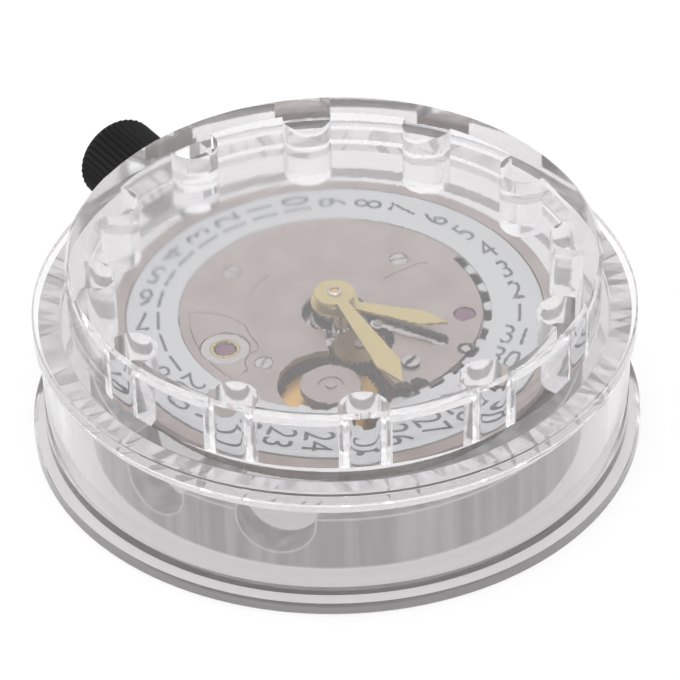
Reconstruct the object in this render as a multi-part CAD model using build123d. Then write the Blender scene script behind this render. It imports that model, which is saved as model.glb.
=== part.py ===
"""Automatic calendar watch movement, dial side up, in its clear two-piece delivery case.

Frame: origin on the case axis at the underside of the tray, +Z up through the dial side,
+X along the winding stem (3 o'clock), +Y towards 12 o'clock. Millimetres.
"""
import math
import os

from build123d import *

# Driving size of the movement: the common 26 mm automatic date calibre
PLATE_R = 13.0
PLATE_STEP_W = 0.55

# Running clearances
CLEAR = 0.05
PIVOT_CLEAR = 0.02
FACE_CLEAR = 0.04
OVERRUN = 0.5
WHEEL_ROOM = 0.24

# Holder ring round the movement
HOLDER_WALL = 1.95
NOTCH_W = 4.4
NOTCH_DEPTH = 2.6
NOTCH_ANGLES = (131.5, 100.5)

# Clear tray and its lid
TRAY_GAP = 1.55
TRAY_WALL = 1.2
FOOT_LEDGE = 0.7
FOOT_H = 1.0
BRIM_LEDGE = 0.35
BRIM_T = 1.05
LID_STEP = 1.75
LID_WALL = 1.1
LID_H = 3.6
ROOF_T = 1.2
PLUG_DEPTH = 1.3
SLOT_W = 2.6
SLOT_DEPTH = 4.1
POST_COUNT = 12
POST_W = 2.9
POST_LAP = 0.4
POST_PHASE = -88.5
EDGE_BEVEL = 0.22

# Radii of the case, from the movement outwards
PLATE_STEP_R = PLATE_R - PLATE_STEP_W
HOLDER_BORE = PLATE_STEP_R + CLEAR
HOLDER_R = HOLDER_BORE + HOLDER_WALL
TRAY_BORE = HOLDER_R + TRAY_GAP
TRAY_R = TRAY_BORE + TRAY_WALL
FOOT_R = TRAY_R + FOOT_LEDGE
BRIM_R = TRAY_R + BRIM_LEDGE
LID_R = TRAY_R - LID_STEP
LID_BORE = LID_R - LID_WALL

# Heights of the movement, from the tray's floor up
ROTOR_GAP = 0.55
ROTOR_RIM_T = 0.75
RACE_RISE = 0.4
RACE_T = 0.36
AUTO_GEAR_T = 0.18
AUTO_T = 0.3
AUTO_FOOT_T = 0.38
BRIDGE_T = 0.7
BRIDGE_FOOT_T = 0.6
PLATE_T = 2.5
ROTOR_Z = FOOT_H + ROTOR_GAP
ROTOR_TOP = ROTOR_Z + ROTOR_RIM_T
RACE_Z = ROTOR_Z + RACE_RISE
AUTO_GEAR_Z = RACE_Z + RACE_T + 2 * FACE_CLEAR
AUTO_Z = AUTO_GEAR_Z + AUTO_GEAR_T + CLEAR
AUTO_TOP = AUTO_Z + AUTO_T
BRIDGE_Z = AUTO_TOP + AUTO_FOOT_T
BRIDGE_TOP = BRIDGE_Z + BRIDGE_T
PLATE_BOTTOM = BRIDGE_TOP + BRIDGE_FOOT_T
PLATE_TOP = PLATE_BOTTOM + PLATE_T

# Heights of the case
HOLDER_TOP = PLATE_BOTTOM
TRAY_RISE = 0.6
TRAY_TOP = PLATE_TOP + TRAY_RISE
BRIM_TOP = TRAY_TOP + BRIM_T
LID_TOP = BRIM_TOP + LID_H

# Levels inside the plate, from its underside up
STEM_RISE = 0.7
TRAIN_DEPTH = 0.85
BARREL_DEPTH = 1.0
PIVOT_L = 0.17
DATE_FLOOR_RISE = 1.12
WORKS_FLOOR_RISE = 1.35
SHOCK_RISE = 1.7
STEM_Z = PLATE_BOTTOM + STEM_RISE
TRAIN_CEILING = PLATE_BOTTOM + TRAIN_DEPTH
BARREL_CEILING = PLATE_BOTTOM + BARREL_DEPTH
TRAIN_HEAD = TRAIN_CEILING + PIVOT_L
DATE_FLOOR = PLATE_BOTTOM + DATE_FLOOR_RISE
WORKS_FLOOR = PLATE_BOTTOM + WORKS_FLOOR_RISE
SHOCK_Z = PLATE_BOTTOM + SHOCK_RISE

# Levels of the dial side, from the plate's face down
COVER_T = 0.28
RING_SINK = 0.2
RING_T = 0.22
LEVER_SINK = 0.6
LEVER_T = 0.2
LEVER_LIFT = 0.1
JUMPER_SINK = 0.6
COVER_SEAT = PLATE_TOP - COVER_T
RING_SEAT = PLATE_TOP - RING_SINK
RING_Z = RING_SEAT + PIVOT_CLEAR
KEYLESS_FLOOR = PLATE_TOP - LEVER_SINK
LEVER_Z = KEYLESS_FLOOR + LEVER_LIFT
JUMPER_Z = PLATE_TOP - JUMPER_SINK

# Date ring and calendar plate
RING_EDGE_W = 0.9
RING_BAND_W = 2.98
RING_TOOTH_L = 0.44
RING_TEETH = 31
COVER_GAP = 0.13
RING_R = PLATE_R - RING_EDGE_W
RING_ROOT_R = RING_R - RING_BAND_W
RING_TIP_R = RING_ROOT_R - RING_TOOTH_L
COVER_R = RING_TIP_R - COVER_GAP

# Places of the wheel axes as shares of the plate's radius, dial side seen from above
CENTRE = (0, 0)
BALANCE_SHARES = (0.0723, 0.5431)
PALLET_SHARES = (-0.1485, 0.4546)
ESCAPE_SHARES = (-0.3231, 0.3846)
CROWN_WHEEL_SHARES = (0.6154, 0.0)
BARREL_DISTANCE_SHARE = 0.46923
BARREL_ANGLE = -60
MINUTE_ANGLE = -35
FOURTH_ANGLE = -110

# Date work, its places and module as shares of the radius inside the ring's teeth
DATE_SHARES = (-0.61525346, 0.46773041)
DATE_TEETH, IDLER_TEETH, DATE_PINION_TEETH, DATE_MODULE_SHARE = 56, 32, 28, 0.0115202765

# Teeth of the wheel trains, and modules as shares of the plate's radius
BARREL_TEETH, CENTRE_PINION_TEETH = 60, 8
CENTRE_TEETH, THIRD_PINION_TEETH, CENTRE_MODULE_SHARE = 60, 8, 0.008462
THIRD_TEETH, FOURTH_PINION_TEETH, THIRD_MODULE_SHARE = 56, 7, 0.007692
FOURTH_TEETH, ESCAPE_PINION_TEETH, FOURTH_MODULE_SHARE = 60, 6, 0.006923
MINUTE_TEETH, CANNON_TEETH, CANNON_MODULE_SHARE = 30, 10, 0.011538
HOUR_TEETH, MINUTE_PINION_TEETH, HOUR_MODULE_SHARE = 40, 10, 0.0092308
ROTOR_GEAR_TEETH, REVERSER_TEETH, REDUCTION_TEETH, AUTO_MODULE_SHARE = 44, 30, 44, 0.007692
RATCHET_TEETH, CROWN_WHEEL_TEETH, REDUCTION_PINION_TEETH = 36, 22, 8
ESCAPE_TEETH, ESCAPE_R_SHARE = 15, 0.16538
ADDENDUM_SHARE, DEDENDUM_SHARE, TIP_SHARE = 0.6, 1.4, 0.08

MIN_ALIGN = (Align.CENTER, Align.CENTER, Align.MIN)


def polar(radius, angle, origin=CENTRE):
    """Point at a radius and an angle in degrees about an origin."""
    turn = math.radians(angle)
    return (origin[0] + radius * math.cos(turn), origin[1] + radius * math.sin(turn))


def placed(shares):
    """Point given as shares of the plate's radius."""
    return (shares[0] * PLATE_R, shares[1] * PLATE_R)


def heading(start, end):
    """Angle in degrees of the line from one point to another."""
    return math.degrees(math.atan2(end[1] - start[1], end[0] - start[0]))


def circle_meeting(a, radius_a, b, radius_b, side):
    """Point at given distances from a and b; side is +1 or -1."""
    gap = math.dist(a, b)
    along = (radius_a ** 2 - radius_b ** 2 + gap ** 2) / (2 * gap)
    across = math.sqrt(radius_a ** 2 - along ** 2) * side
    ux, uy = (b[0] - a[0]) / gap, (b[1] - a[1]) / gap
    return (a[0] + along * ux - across * uy, a[1] + along * uy + across * ux)


def axis_distance(teeth_a, teeth_b, module):
    """Distance between the axes of two wheels in mesh."""
    return module * (teeth_a + teeth_b) / 2


BARREL_DISTANCE = PLATE_R * BARREL_DISTANCE_SHARE
CENTRE_MODULE = PLATE_R * CENTRE_MODULE_SHARE
THIRD_MODULE = PLATE_R * THIRD_MODULE_SHARE
FOURTH_MODULE = PLATE_R * FOURTH_MODULE_SHARE
CANNON_MODULE = PLATE_R * CANNON_MODULE_SHARE
HOUR_MODULE = PLATE_R * HOUR_MODULE_SHARE
DATE_MODULE = RING_TIP_R * DATE_MODULE_SHARE
AUTO_MODULE = PLATE_R * AUTO_MODULE_SHARE
ESCAPE_R = PLATE_R * ESCAPE_R_SHARE
BARREL_MODULE = 2 * BARREL_DISTANCE / (BARREL_TEETH + CENTRE_PINION_TEETH)
BALANCE_AT = placed(BALANCE_SHARES)
PALLET_AT = placed(PALLET_SHARES)
ESCAPE_AT = placed(ESCAPE_SHARES)
DATE_AT = (DATE_SHARES[0] * RING_TIP_R, DATE_SHARES[1] * RING_TIP_R)
CROWN_WHEEL_AT = placed(CROWN_WHEEL_SHARES)
BARREL_AT = polar(BARREL_DISTANCE, BARREL_ANGLE)
MINUTE_AT = polar(axis_distance(MINUTE_TEETH, CANNON_TEETH, CANNON_MODULE), MINUTE_ANGLE)
FOURTH_AT = polar(axis_distance(FOURTH_TEETH, ESCAPE_PINION_TEETH, FOURTH_MODULE), FOURTH_ANGLE, ESCAPE_AT)
THIRD_AT = circle_meeting(CENTRE, axis_distance(CENTRE_TEETH, THIRD_PINION_TEETH, CENTRE_MODULE), FOURTH_AT,
                          axis_distance(THIRD_TEETH, FOURTH_PINION_TEETH, THIRD_MODULE), 1)
IDLER_AT = circle_meeting(CENTRE, axis_distance(DATE_PINION_TEETH, IDLER_TEETH, DATE_MODULE), DATE_AT,
                          axis_distance(DATE_TEETH, IDLER_TEETH, DATE_MODULE), 1)
RATCHET_MODULE = 2 * math.dist(BARREL_AT, CROWN_WHEEL_AT) / (RATCHET_TEETH + CROWN_WHEEL_TEETH)


def disc(radius, z0, z1, at=CENTRE):
    """Round bar standing on z0 and reaching z1."""
    return Pos(at[0], at[1], z0) * Cylinder(radius, z1 - z0, align=MIN_ALIGN)


def ring(outer, inner, z0, z1, at=CENTRE):
    """Round ring with a through bore."""
    return disc(outer, z0, z1, at) - disc(inner, z0 - OVERRUN, z1 + OVERRUN, at)


def plate(points, z0, z1):
    """Flat plate cut to a closed outline of straight runs."""
    return Pos(0, 0, z0) * extrude(make_face(Polyline(*points, close=True)), z1 - z0)


def bar(start, end, width, z0, z1):
    """Flat arm with round ends from start to end."""
    middle = ((start[0] + end[0]) / 2, (start[1] + end[1]) / 2)
    length = math.dist(start, end)
    arm = Pos(middle[0], middle[1], z0) * Rot(0, 0, heading(start, end)) * Box(
        length, width, z1 - z0, align=MIN_ALIGN)
    return arm + disc(width / 2, z0, z1, start) + disc(width / 2, z0, z1, end)


def chain(points, width, z0, z1):
    """Arms joined end to end along a row of points."""
    body = bar(points[0], points[1], width, z0, z1)
    for start, end in zip(points[1:-1], points[2:]):
        body += bar(start, end, width, z0, z1)
    return body


def block(x0, x1, y0, y1, z0, z1):
    """Straight-sided block between two corners."""
    return Pos((x0 + x1) / 2, (y0 + y1) / 2, z0) * Box(x1 - x0, y1 - y0, z1 - z0, align=MIN_ALIGN)


def axle(radius, x0, x1, z=STEM_Z, y=0):
    """Round bar lying along +X."""
    return Pos(x0, y, z) * Rot(0, 90, 0) * Cylinder(radius, x1 - x0, align=MIN_ALIGN)


def tip_r(teeth, module):
    """Radius over the teeth of a wheel."""
    return module * (teeth / 2 + ADDENDUM_SHARE)


def toothed(teeth, module, z0, z1, at=CENTRE, phase=0.0):
    """Toothed disc with pointed clock teeth; a tooth is centred on the phase angle."""
    pitch = 360 / teeth
    tip, root = tip_r(teeth, module), module * (teeth / 2 - DEDENDUM_SHARE)
    points = []
    for index in range(teeth):
        middle = phase + index * pitch
        points.append(polar(root, middle - pitch / 2))
        points.append(polar(tip, middle - TIP_SHARE * pitch))
        points.append(polar(tip, middle + TIP_SHARE * pitch))
    return Pos(at[0], at[1], 0) * plate(points, z0, z1)


def mesh_phase(teeth_a, phase_a, at_a, teeth_b, at_b):
    """Phase of gear b that puts its tooth gaps on the teeth of gear a."""
    line = heading(at_a, at_b)
    pitch_a, pitch_b = 360 / teeth_a, 360 / teeth_b
    offset = ((line - phase_a) / pitch_a) % 1
    return line + 180 - (0.5 - offset) * pitch_b


def crossings(outer, inner, arms, arm_w, z0, z1, at):
    """Openings between the arms of a wheel."""
    opening = ring(outer, inner, z0 - OVERRUN, z1 + OVERRUN, at)
    for index in range(arms):
        angle = index * 360 / arms
        opening -= bar(at, polar(outer, angle, at), arm_w, z0 - 2 * OVERRUN, z1 + 2 * OVERRUN)
    return opening


RIM_SHARE, HUB_SHARE, ARM_SHARE, WHEEL_ARMS = 2.6, 5, 2.6, 5


def train_wheel(teeth, module, z0, z1, at):
    """Brass wheel with its rim, arms and hub."""
    rim_inner = module * (teeth / 2 - DEDENDUM_SHARE - RIM_SHARE)
    wheel = toothed(teeth, module, z0, z1, at)
    return wheel - crossings(rim_inner, HUB_SHARE * module, WHEEL_ARMS, ARM_SHARE * module, z0, z1, at)


SHANK_SHARE, SLOT_W_SHARE, SLOT_DEPTH_SHARE = 0.55, 0.28, 0.45


def screw(radius, z_head, head_t, z_end, at, slot_angle, up=True):
    """Cheese-head screw with a slot; its shank runs from the head to z_end."""
    slot_d = SLOT_DEPTH_SHARE * head_t
    outer = z_head + head_t if up else z_head - head_t
    body = disc(radius, min(z_head, outer), max(z_head, outer), at)
    body += disc(SHANK_SHARE * radius, min(z_end, z_head), max(z_end, z_head), at)
    slot_z = outer - slot_d if up else outer
    return body - Pos(at[0], at[1], slot_z) * Rot(0, 0, slot_angle) * Box(
        3 * radius, SLOT_W_SHARE * radius, slot_d, align=MIN_ALIGN)


def screw_hole(radius, z_open, z_head, z_end, at):
    """Hole with a counterbore for a screw's head; the head enters from z_open."""
    hole = disc(SHANK_SHARE * radius + PIVOT_CLEAR, min(z_head, z_end), max(z_head, z_end), at)
    return hole + disc(radius + CLEAR, min(z_open, z_head), max(z_open, z_head), at)


def largest(body):
    """Main solid of a cut piece."""
    return max(body.solids(), key=lambda solid: solid.volume)


def save(shape, name):
    """Write one sub-part as a STEP file of separate solids."""
    solids = shape if isinstance(shape, list) else [shape]
    flat = [solid for item in solids for solid in item.solids()]
    export_step(Compound(children=flat) if len(flat) > 1 else flat[0], f"parts/{name}.step")


# The clear case

SLOT_FLOOR = TRAY_TOP - SLOT_DEPTH


def case_tray():
    """Cup with a foot flange and a slot for the stem."""
    foot = chamfer(disc(FOOT_R, 0, FOOT_H).edges().group_by(Axis.Z)[0], EDGE_BEVEL)
    cup = foot + disc(TRAY_R, 0, TRAY_TOP)
    cup -= disc(TRAY_BORE, FOOT_H, TRAY_TOP + OVERRUN)
    return cup - block(HOLDER_R, FOOT_R + OVERRUN, -SLOT_W / 2, SLOT_W / 2, SLOT_FLOOR, TRAY_TOP + OVERRUN)


def movement_holder():
    """Inner ring that the main plate rests on, with two finger notches and the stem slot."""
    inside, outside = HOLDER_BORE - OVERRUN, HOLDER_R + OVERRUN
    body = ring(HOLDER_R, HOLDER_BORE, FOOT_H, HOLDER_TOP)
    notch_z = HOLDER_TOP - NOTCH_DEPTH + NOTCH_W / 2
    notch = axle(NOTCH_W / 2, inside, outside, notch_z)
    notch += block(inside, outside, -NOTCH_W / 2, NOTCH_W / 2, notch_z, HOLDER_TOP + OVERRUN)
    for angle in NOTCH_ANGLES:
        body -= Rot(0, 0, angle) * notch
    return body - block(inside, outside, -SLOT_W / 2, SLOT_W / 2, SLOT_FLOOR, HOLDER_TOP + OVERRUN)


def lid_post(angle):
    """D-section post: flat on the lid wall, round towards the axis, foot over the plate's rim."""
    nose_x = PLATE_R - POST_LAP + POST_W / 2
    wall_middle = LID_BORE + LID_WALL / 2
    top, foot = LID_TOP - ROOF_T + FACE_CLEAR, PLATE_TOP + FACE_CLEAR
    post = disc(POST_W / 2, foot, top, (nose_x, 0))
    post += block(nose_x, wall_middle, -POST_W / 2, POST_W / 2, foot, top)
    return Rot(0, 0, angle) * (post & disc(wall_middle, foot, top))


def case_lid():
    """Hat-shaped clear lid: round roof, brim over the tray wall, plug skirt and posts."""
    skirt_z = TRAY_TOP - PLUG_DEPTH
    shell = chamfer(disc(LID_R, BRIM_TOP, LID_TOP).edges().group_by(Axis.Z)[-1], EDGE_BEVEL)
    shell += chamfer(disc(BRIM_R, TRAY_TOP, BRIM_TOP).edges().group_by(Axis.Z)[-1], EDGE_BEVEL / 2)
    shell += disc(TRAY_BORE - CLEAR, skirt_z, TRAY_TOP)
    shell -= disc(LID_BORE, skirt_z - OVERRUN, LID_TOP - ROOF_T)
    shell -= block(LID_BORE - OVERRUN, BRIM_R + OVERRUN, -SLOT_W / 2, SLOT_W / 2, skirt_z - OVERRUN,
                   TRAY_TOP - CLEAR)
    for index in range(POST_COUNT):
        shell += lid_post(POST_PHASE + index * 360 / POST_COUNT)
    return shell


# Crown and stem, from the case inwards

CROWN_R = 2.65
CROWN_L = 3.6
CROWN_GAP = 1.2
CROWN_HUB_R = 1.4
CROWN_HUB_L = 1.2
CROWN_BEVEL = 0.45
CROWN_END_T = 0.9
CROWN_RIDGES = 40
CROWN_TOOTH = 0.14
STEM_R = 0.6
STEM_TRAVEL = 0.6
SQUARE_W = 0.42
GROOVE_W = 0.5
GROOVE_R = 0.35
GROOVE_INSET = 1.3
PINION_GAP = 0.25
PINION_L = 1.2
PINION_R = 1.25
CLUTCH_GAP = 0.15
CLUTCH_L = 1.7
CLUTCH_R = 0.95
CLUTCH_WAIST_SHARE = 0.6
CLUTCH_TRAVEL = 0.35
SQUARE_OVERHANG = 0.25
CROWN_START = FOOT_R + CROWN_GAP + CROWN_HUB_L
CROWN_END = CROWN_START + CROWN_L
GROOVE_X = RING_R - GROOVE_INSET
PINION_X = GROOVE_X - GROOVE_W / 2 - PINION_GAP - PINION_L
CLUTCH_X = PINION_X - CLUTCH_GAP - CLUTCH_L
STEM_IN = CLUTCH_X - SQUARE_OVERHANG
SQUARE_BORE_R = SQUARE_W / math.sqrt(2) + PIVOT_CLEAR


def crown():
    """Knurled crown with a bevelled outer end and a tube towards the case."""
    pitch = 360 / CROWN_RIDGES
    points = []
    for index in range(CROWN_RIDGES):
        points.append(polar(CROWN_R - CROWN_TOOTH, (index - 0.5) * pitch))
        points.append(polar(CROWN_R, index * pitch))
    knurl = Pos(CROWN_START, 0, STEM_Z) * Rot(0, 90, 0) * plate(points, 0, CROWN_L)
    envelope = axle(CROWN_R + CROWN_TOOTH, CROWN_START, CROWN_END)
    envelope = chamfer(envelope.edges().group_by(Axis.X)[-1], CROWN_BEVEL)
    body = (knurl & envelope) + axle(CROWN_HUB_R, CROWN_START - CROWN_HUB_L, CROWN_START)
    return body - axle(STEM_R + PIVOT_CLEAR, CROWN_START - CROWN_HUB_L - OVERRUN, CROWN_END - CROWN_END_T)


def winding_stem():
    """Stem with its lever groove, running journal and square."""
    groove_in, groove_out = GROOVE_X - GROOVE_W / 2, GROOVE_X + GROOVE_W / 2
    body = axle(STEM_R, PINION_X + PINION_L, groove_in)
    body += axle(STEM_R, groove_out, CROWN_END - CROWN_END_T - CLEAR)
    body += axle(GROOVE_R, groove_in, groove_out)
    return body + Pos(STEM_IN, 0, STEM_Z) * Box(PINION_X + PINION_L - STEM_IN, SQUARE_W, SQUARE_W,
                                                align=(Align.MIN, Align.CENTER, Align.CENTER))


FACE_TEETH = 10
FACE_TOOTH = 0.25
FACE_GAP_SHARE = 0.1
FACE_HUB_T = 0.2


def face_toothed(radius, x0, length):
    """Sleeve on the stem's square with crenellated ends."""
    sleeve = axle(radius, x0, x0 + length) - axle(SQUARE_BORE_R, x0 - OVERRUN, x0 + length + OVERRUN)
    half = FACE_GAP_SHARE * radius
    gap = block(-FACE_TOOTH, FACE_TOOTH, -half, half, SQUARE_BORE_R + FACE_HUB_T, radius + OVERRUN)
    for index in range(FACE_TEETH):
        turned = Pos(0, 0, STEM_Z) * Rot(index * 360 / FACE_TEETH, 0, 0) * gap
        sleeve -= Pos(x0, 0, 0) * turned
        sleeve -= Pos(x0 + length, 0, 0) * turned
    return sleeve


def winding_pinion():
    """Pinion that the stem's clutch drives, with teeth towards the crown wheel."""
    return face_toothed(PINION_R, PINION_X, PINION_L)


def clutch_wheel():
    """Sliding pinion on the stem's square, with the yoke's groove round it."""
    middle = CLUTCH_X + CLUTCH_L / 2
    groove = axle(CLUTCH_R + OVERRUN, middle - GROOVE_W / 2, middle + GROOVE_W / 2)
    groove -= axle(CLUTCH_WAIST_SHARE * CLUTCH_R, middle - GROOVE_W, middle + GROOVE_W)
    return face_toothed(CLUTCH_R, CLUTCH_X, CLUTCH_L) - groove


# Keyless levers beside the stem

LEVER_ARM = 2.2
LEVER_W = 0.9
LEVER_TAIL_W = 0.7
LEVER_TAIL_L = 2.1
LEVER_TAIL_RISE = 0.4
LEVER_PIN_R = 0.22
LEVER_POST_R = 0.25
LEVER_PIVOT = (GROOVE_X, LEVER_ARM)
YOKE_ARM = 1.05
YOKE_REACH = 2.1
YOKE_W = 0.6
YOKE_NOSE_W = 0.36
YOKE_ELBOW_SHARE = 0.9
YOKE_PIVOT = (CLUTCH_X + CLUTCH_L / 2 - YOKE_REACH, -YOKE_ARM)


def post_hole(at, z0, z1):
    """Hole of a lever for its post."""
    return disc(LEVER_POST_R + PIVOT_CLEAR, z0 - OVERRUN, z1 + OVERRUN, at)


def setting_lever():
    """Lever whose pin rides in the stem's groove."""
    z0, z1 = LEVER_Z, LEVER_Z + LEVER_T
    tail = (GROOVE_X - LEVER_TAIL_L, LEVER_ARM + LEVER_TAIL_RISE)
    body = bar(LEVER_PIVOT, (GROOVE_X, 0), LEVER_W, z0, z1) + bar(LEVER_PIVOT, tail, LEVER_TAIL_W, z0, z1)
    body -= post_hole(LEVER_PIVOT, z0, z1)
    return body + disc(LEVER_PIN_R, STEM_Z + GROOVE_R + CLEAR, z0, (GROOVE_X, 0))


def yoke():
    """Lever whose nose slides the clutch along the stem's square."""
    z0, z1 = LEVER_Z, LEVER_Z + LEVER_T
    nose = (CLUTCH_X + CLUTCH_L / 2, 0)
    elbow = (nose[0], -YOKE_ARM * YOKE_ELBOW_SHARE)
    body = bar(YOKE_PIVOT, elbow, YOKE_W, z0, z1) + bar(elbow, nose, YOKE_NOSE_W, z0, z1)
    body -= post_hole(YOKE_PIVOT, z0, z1)
    return body + disc(YOKE_NOSE_W / 2, STEM_Z + CLUTCH_WAIST_SHARE * CLUTCH_R + CLEAR, z0, nose)


def lever_posts():
    """Posts of the plate that the setting lever and the yoke turn on."""
    top = LEVER_Z + LEVER_T
    return [disc(LEVER_POST_R, KEYLESS_FLOOR, top, at) for at in (LEVER_PIVOT, YOKE_PIVOT)]


# Shared sizes of the posts, pivots, jewels and screws

POST_R = 0.3
PIVOT_R = 0.12
ARBOR_R = 0.25
ARBOR_TUBE_R = 0.55
STAFF_R = 0.2
SCREW_GRIP = 0.5
SCREW_R = 0.45
SCREW_HEAD_T = 0.25
JEWEL_R = 0.62
JEWEL_T = 0.3
JEWEL_BED_T = 0.2
JEWEL_ROUND = 0.1
COVER_SCREW_R = 0.52
COVER_HEAD_T = 0.12
COVER_GRIP = 0.6
RAISED_SCREW_R = 0.55
RAISED_HEAD_T = 0.2
COVER_SCREW_SHARES = ((0.5208, 0.2054), (0.1492, -0.4585), (-0.1131, 0.4638))
RAISED_SCREW_SHARES = (-0.5008, -0.0546)
DIAL_JEWEL_SHARES = (-0.3569, -0.4569)
COVER_SCREWS = [placed(shares) for shares in COVER_SCREW_SHARES]
RAISED_SCREW_AT = placed(RAISED_SCREW_SHARES)
DIAL_JEWEL_AT = placed(DIAL_JEWEL_SHARES)
BRIDGE_SCREW_SHARES = ((-0.8462, 0.2), (-0.7385, -0.4615), (-0.6923, 0.4154), (0.0769, -0.8692),
                       (0.7231, -0.5385), (0.8308, 0.2231))
COCK_FOOT_SHARES = (0.5538, 0.5923)
BRIDGE_SCREWS = [placed(shares) for shares in BRIDGE_SCREW_SHARES]
COCK_FOOT = placed(COCK_FOOT_SHARES)

# Balance, sized to clear the foot of its cock
COCK_FOOT_R = 1.45
BALANCE_GAP = 0.54
BALANCE_R = math.dist(BALANCE_AT, COCK_FOOT) - COCK_FOOT_R - BALANCE_GAP

# Shock settings of the balance staff
SHOCK_SHARE = 0.33
SHOCK_R = SHOCK_SHARE * BALANCE_R
SHOCK_T = 0.35
SHOCK_LIP_SHARE = 0.39445216
SHOCK_FLOOR_T = 0.12
SHOCK_HOLE_R = 0.3
STONE_SHARE = 0.40853974
STONE_R = STONE_SHARE * SHOCK_R
STONE_ROUND = 0.12
SPRING_WIRE = 0.16
SPRING_REACH = 0.3
SPRING_EAR_ANGLES = (30, 150, 270)
SHOCK_SINK = 0.05


def shock_setting(z_low, up):
    """Ring setting with its jewel and three-eared spring; up is the side that the jewel faces."""
    z_high, floor_z = z_low + SHOCK_T, z_low + SHOCK_FLOOR_T
    bore_r = SHOCK_R - SHOCK_LIP_SHARE * SHOCK_R
    setting = ring(SHOCK_R, bore_r, z_low, z_high) + ring(bore_r + CLEAR, SHOCK_HOLE_R, z_low, floor_z)
    stone = fillet(disc(STONE_R, floor_z, z_high).edges().group_by(Axis.Z)[-1], STONE_ROUND)
    spring_z = z_high - SPRING_WIRE / 2
    spring = ring(bore_r - PIVOT_CLEAR, bore_r - SPRING_WIRE - PIVOT_CLEAR, spring_z, z_high)
    for angle in SPRING_EAR_ANGLES:
        outer, inner = polar(bore_r - SPRING_WIRE, angle), polar(bore_r - SPRING_REACH, angle)
        spring += bar(outer, inner, SPRING_WIRE, spring_z, z_high)
    parts = [setting, stone, spring - disc(STONE_R + PIVOT_CLEAR, z_low, z_high + OVERRUN)]
    if not up:
        parts = [Pos(0, 0, z_low + z_high) * Rot(180, 0, 0) * item for item in parts]
    return [Pos(BALANCE_AT[0], BALANCE_AT[1], 0) * item for item in parts]


# Calendar plate: a thin cover over the calendar and motion works

LIP_W = 0.51
LIP_T = 0.07
LIP_OPEN_ANGLES = (169.5, 220, 270.5)
WAVE_R_SHARE = 0.2692
WAVE_SHARES = (0.1375, 0.6471)
WAVE_INNER_SHARE = 0.4077
LOBE_R = 1.05
DRUM_SHARE = 0.5259
DRUM_R = DRUM_SHARE * tip_r(HOUR_TEETH, HOUR_MODULE)
HUB_MARGIN = 0.65
WINDOW_MARGIN = 0.19
IDLER_MARGIN = 0.34
WINDOW_TAIL_W_SHARE = 0.1154
WINDOW_TAIL_SHARES = (-0.2769, 0.0923)
WINDOW_END_SHARE = 0.95911111
WINDOW_END_ANGLE = 166
SCALLOP_R_SHARE = 0.0423
SCALLOP_SHARES = ((-0.5971, 0.1489), (-0.6184, 0.0759), (-0.6423, 0.0))
JUMPER_SLOT_W = 1.15
JUMPER_SLOT_SHARES = ((-0.11196, -0.09394), (-0.43969, -0.25385))
JUMPER_NECK_W = 1.0
LINE_W = 0.08
LINE_DEPTH = 0.05
LINE_ANGLES = (11.5, 40, 68)
CURVE_SHARES = ((0.0478, -0.5464), (0.0738, -0.5000), (0.0646, -0.4492), (0.0757, -0.3912), (0.0692, -0.3246))
JUMPER_SHARES = (-0.15760, -0.12313)
JUMPER_ANGLE = -151
JUMPER_PAD_GAP = 0.34
JUMPER_AT = placed(JUMPER_SHARES)
JUMPER_END = polar(RING_TIP_R - JUMPER_PAD_GAP, JUMPER_ANGLE)


def wedge(angles, z0, z1):
    """Wide sector about the centre, from the first angle to the last."""
    return plate([CENTRE] + [polar(2 * PLATE_R, angle) for angle in angles], z0, z1)


def cover_outline(grow, z0, z1):
    """Calendar plate's outline: round, and waved round the balance with a lobe for a screw."""
    body = disc(COVER_R + grow, z0, z1)
    wave = disc(PLATE_R * WAVE_R_SHARE - grow, z0 - OVERRUN, z1 + OVERRUN, placed(WAVE_SHARES))
    wave -= disc(PLATE_R * WAVE_INNER_SHARE + grow, z0 - 2 * OVERRUN, z1 + 2 * OVERRUN)
    return body - wave + disc(LOBE_R + grow, z0, z1, COVER_SCREWS[2])


def date_window(z0, z1):
    """Scalloped opening of the calendar plate over the date work."""
    opening = disc(tip_r(DATE_TEETH, DATE_MODULE) + WINDOW_MARGIN, z0, z1, DATE_AT)
    opening += disc(tip_r(IDLER_TEETH, DATE_MODULE) + IDLER_MARGIN, z0, z1, IDLER_AT)
    opening += disc(DRUM_R + HUB_MARGIN, z0, z1)
    tail_end = polar(COVER_R * WINDOW_END_SHARE, WINDOW_END_ANGLE)
    opening += bar(placed(WINDOW_TAIL_SHARES), tail_end, PLATE_R * WINDOW_TAIL_W_SHARE, z0, z1)
    for shares in SCALLOP_SHARES:
        opening += disc(PLATE_R * SCALLOP_R_SHARE, z0, z1, placed(shares))
    return opening


def lever_window(z0, z1):
    """Slot of the calendar plate over the date jumper."""
    start, end = placed(JUMPER_SLOT_SHARES[0]), placed(JUMPER_SLOT_SHARES[1])
    edge = polar(COVER_R + CLEAR, JUMPER_ANGLE)
    return bar(start, end, JUMPER_SLOT_W, z0, z1) + bar(JUMPER_END, edge, JUMPER_NECK_W, z0, z1)


def surface_lines(z0, z1):
    """Fine stepped lines in the calendar plate's face."""
    arc_r = PLATE_R * WAVE_INNER_SHARE
    arc = ring(arc_r, arc_r - LINE_W, z0, z1) & wedge(LINE_ANGLES, z0, z1)
    return arc + chain([placed(shares) for shares in CURVE_SHARES], LINE_W, z0, z1)


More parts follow.
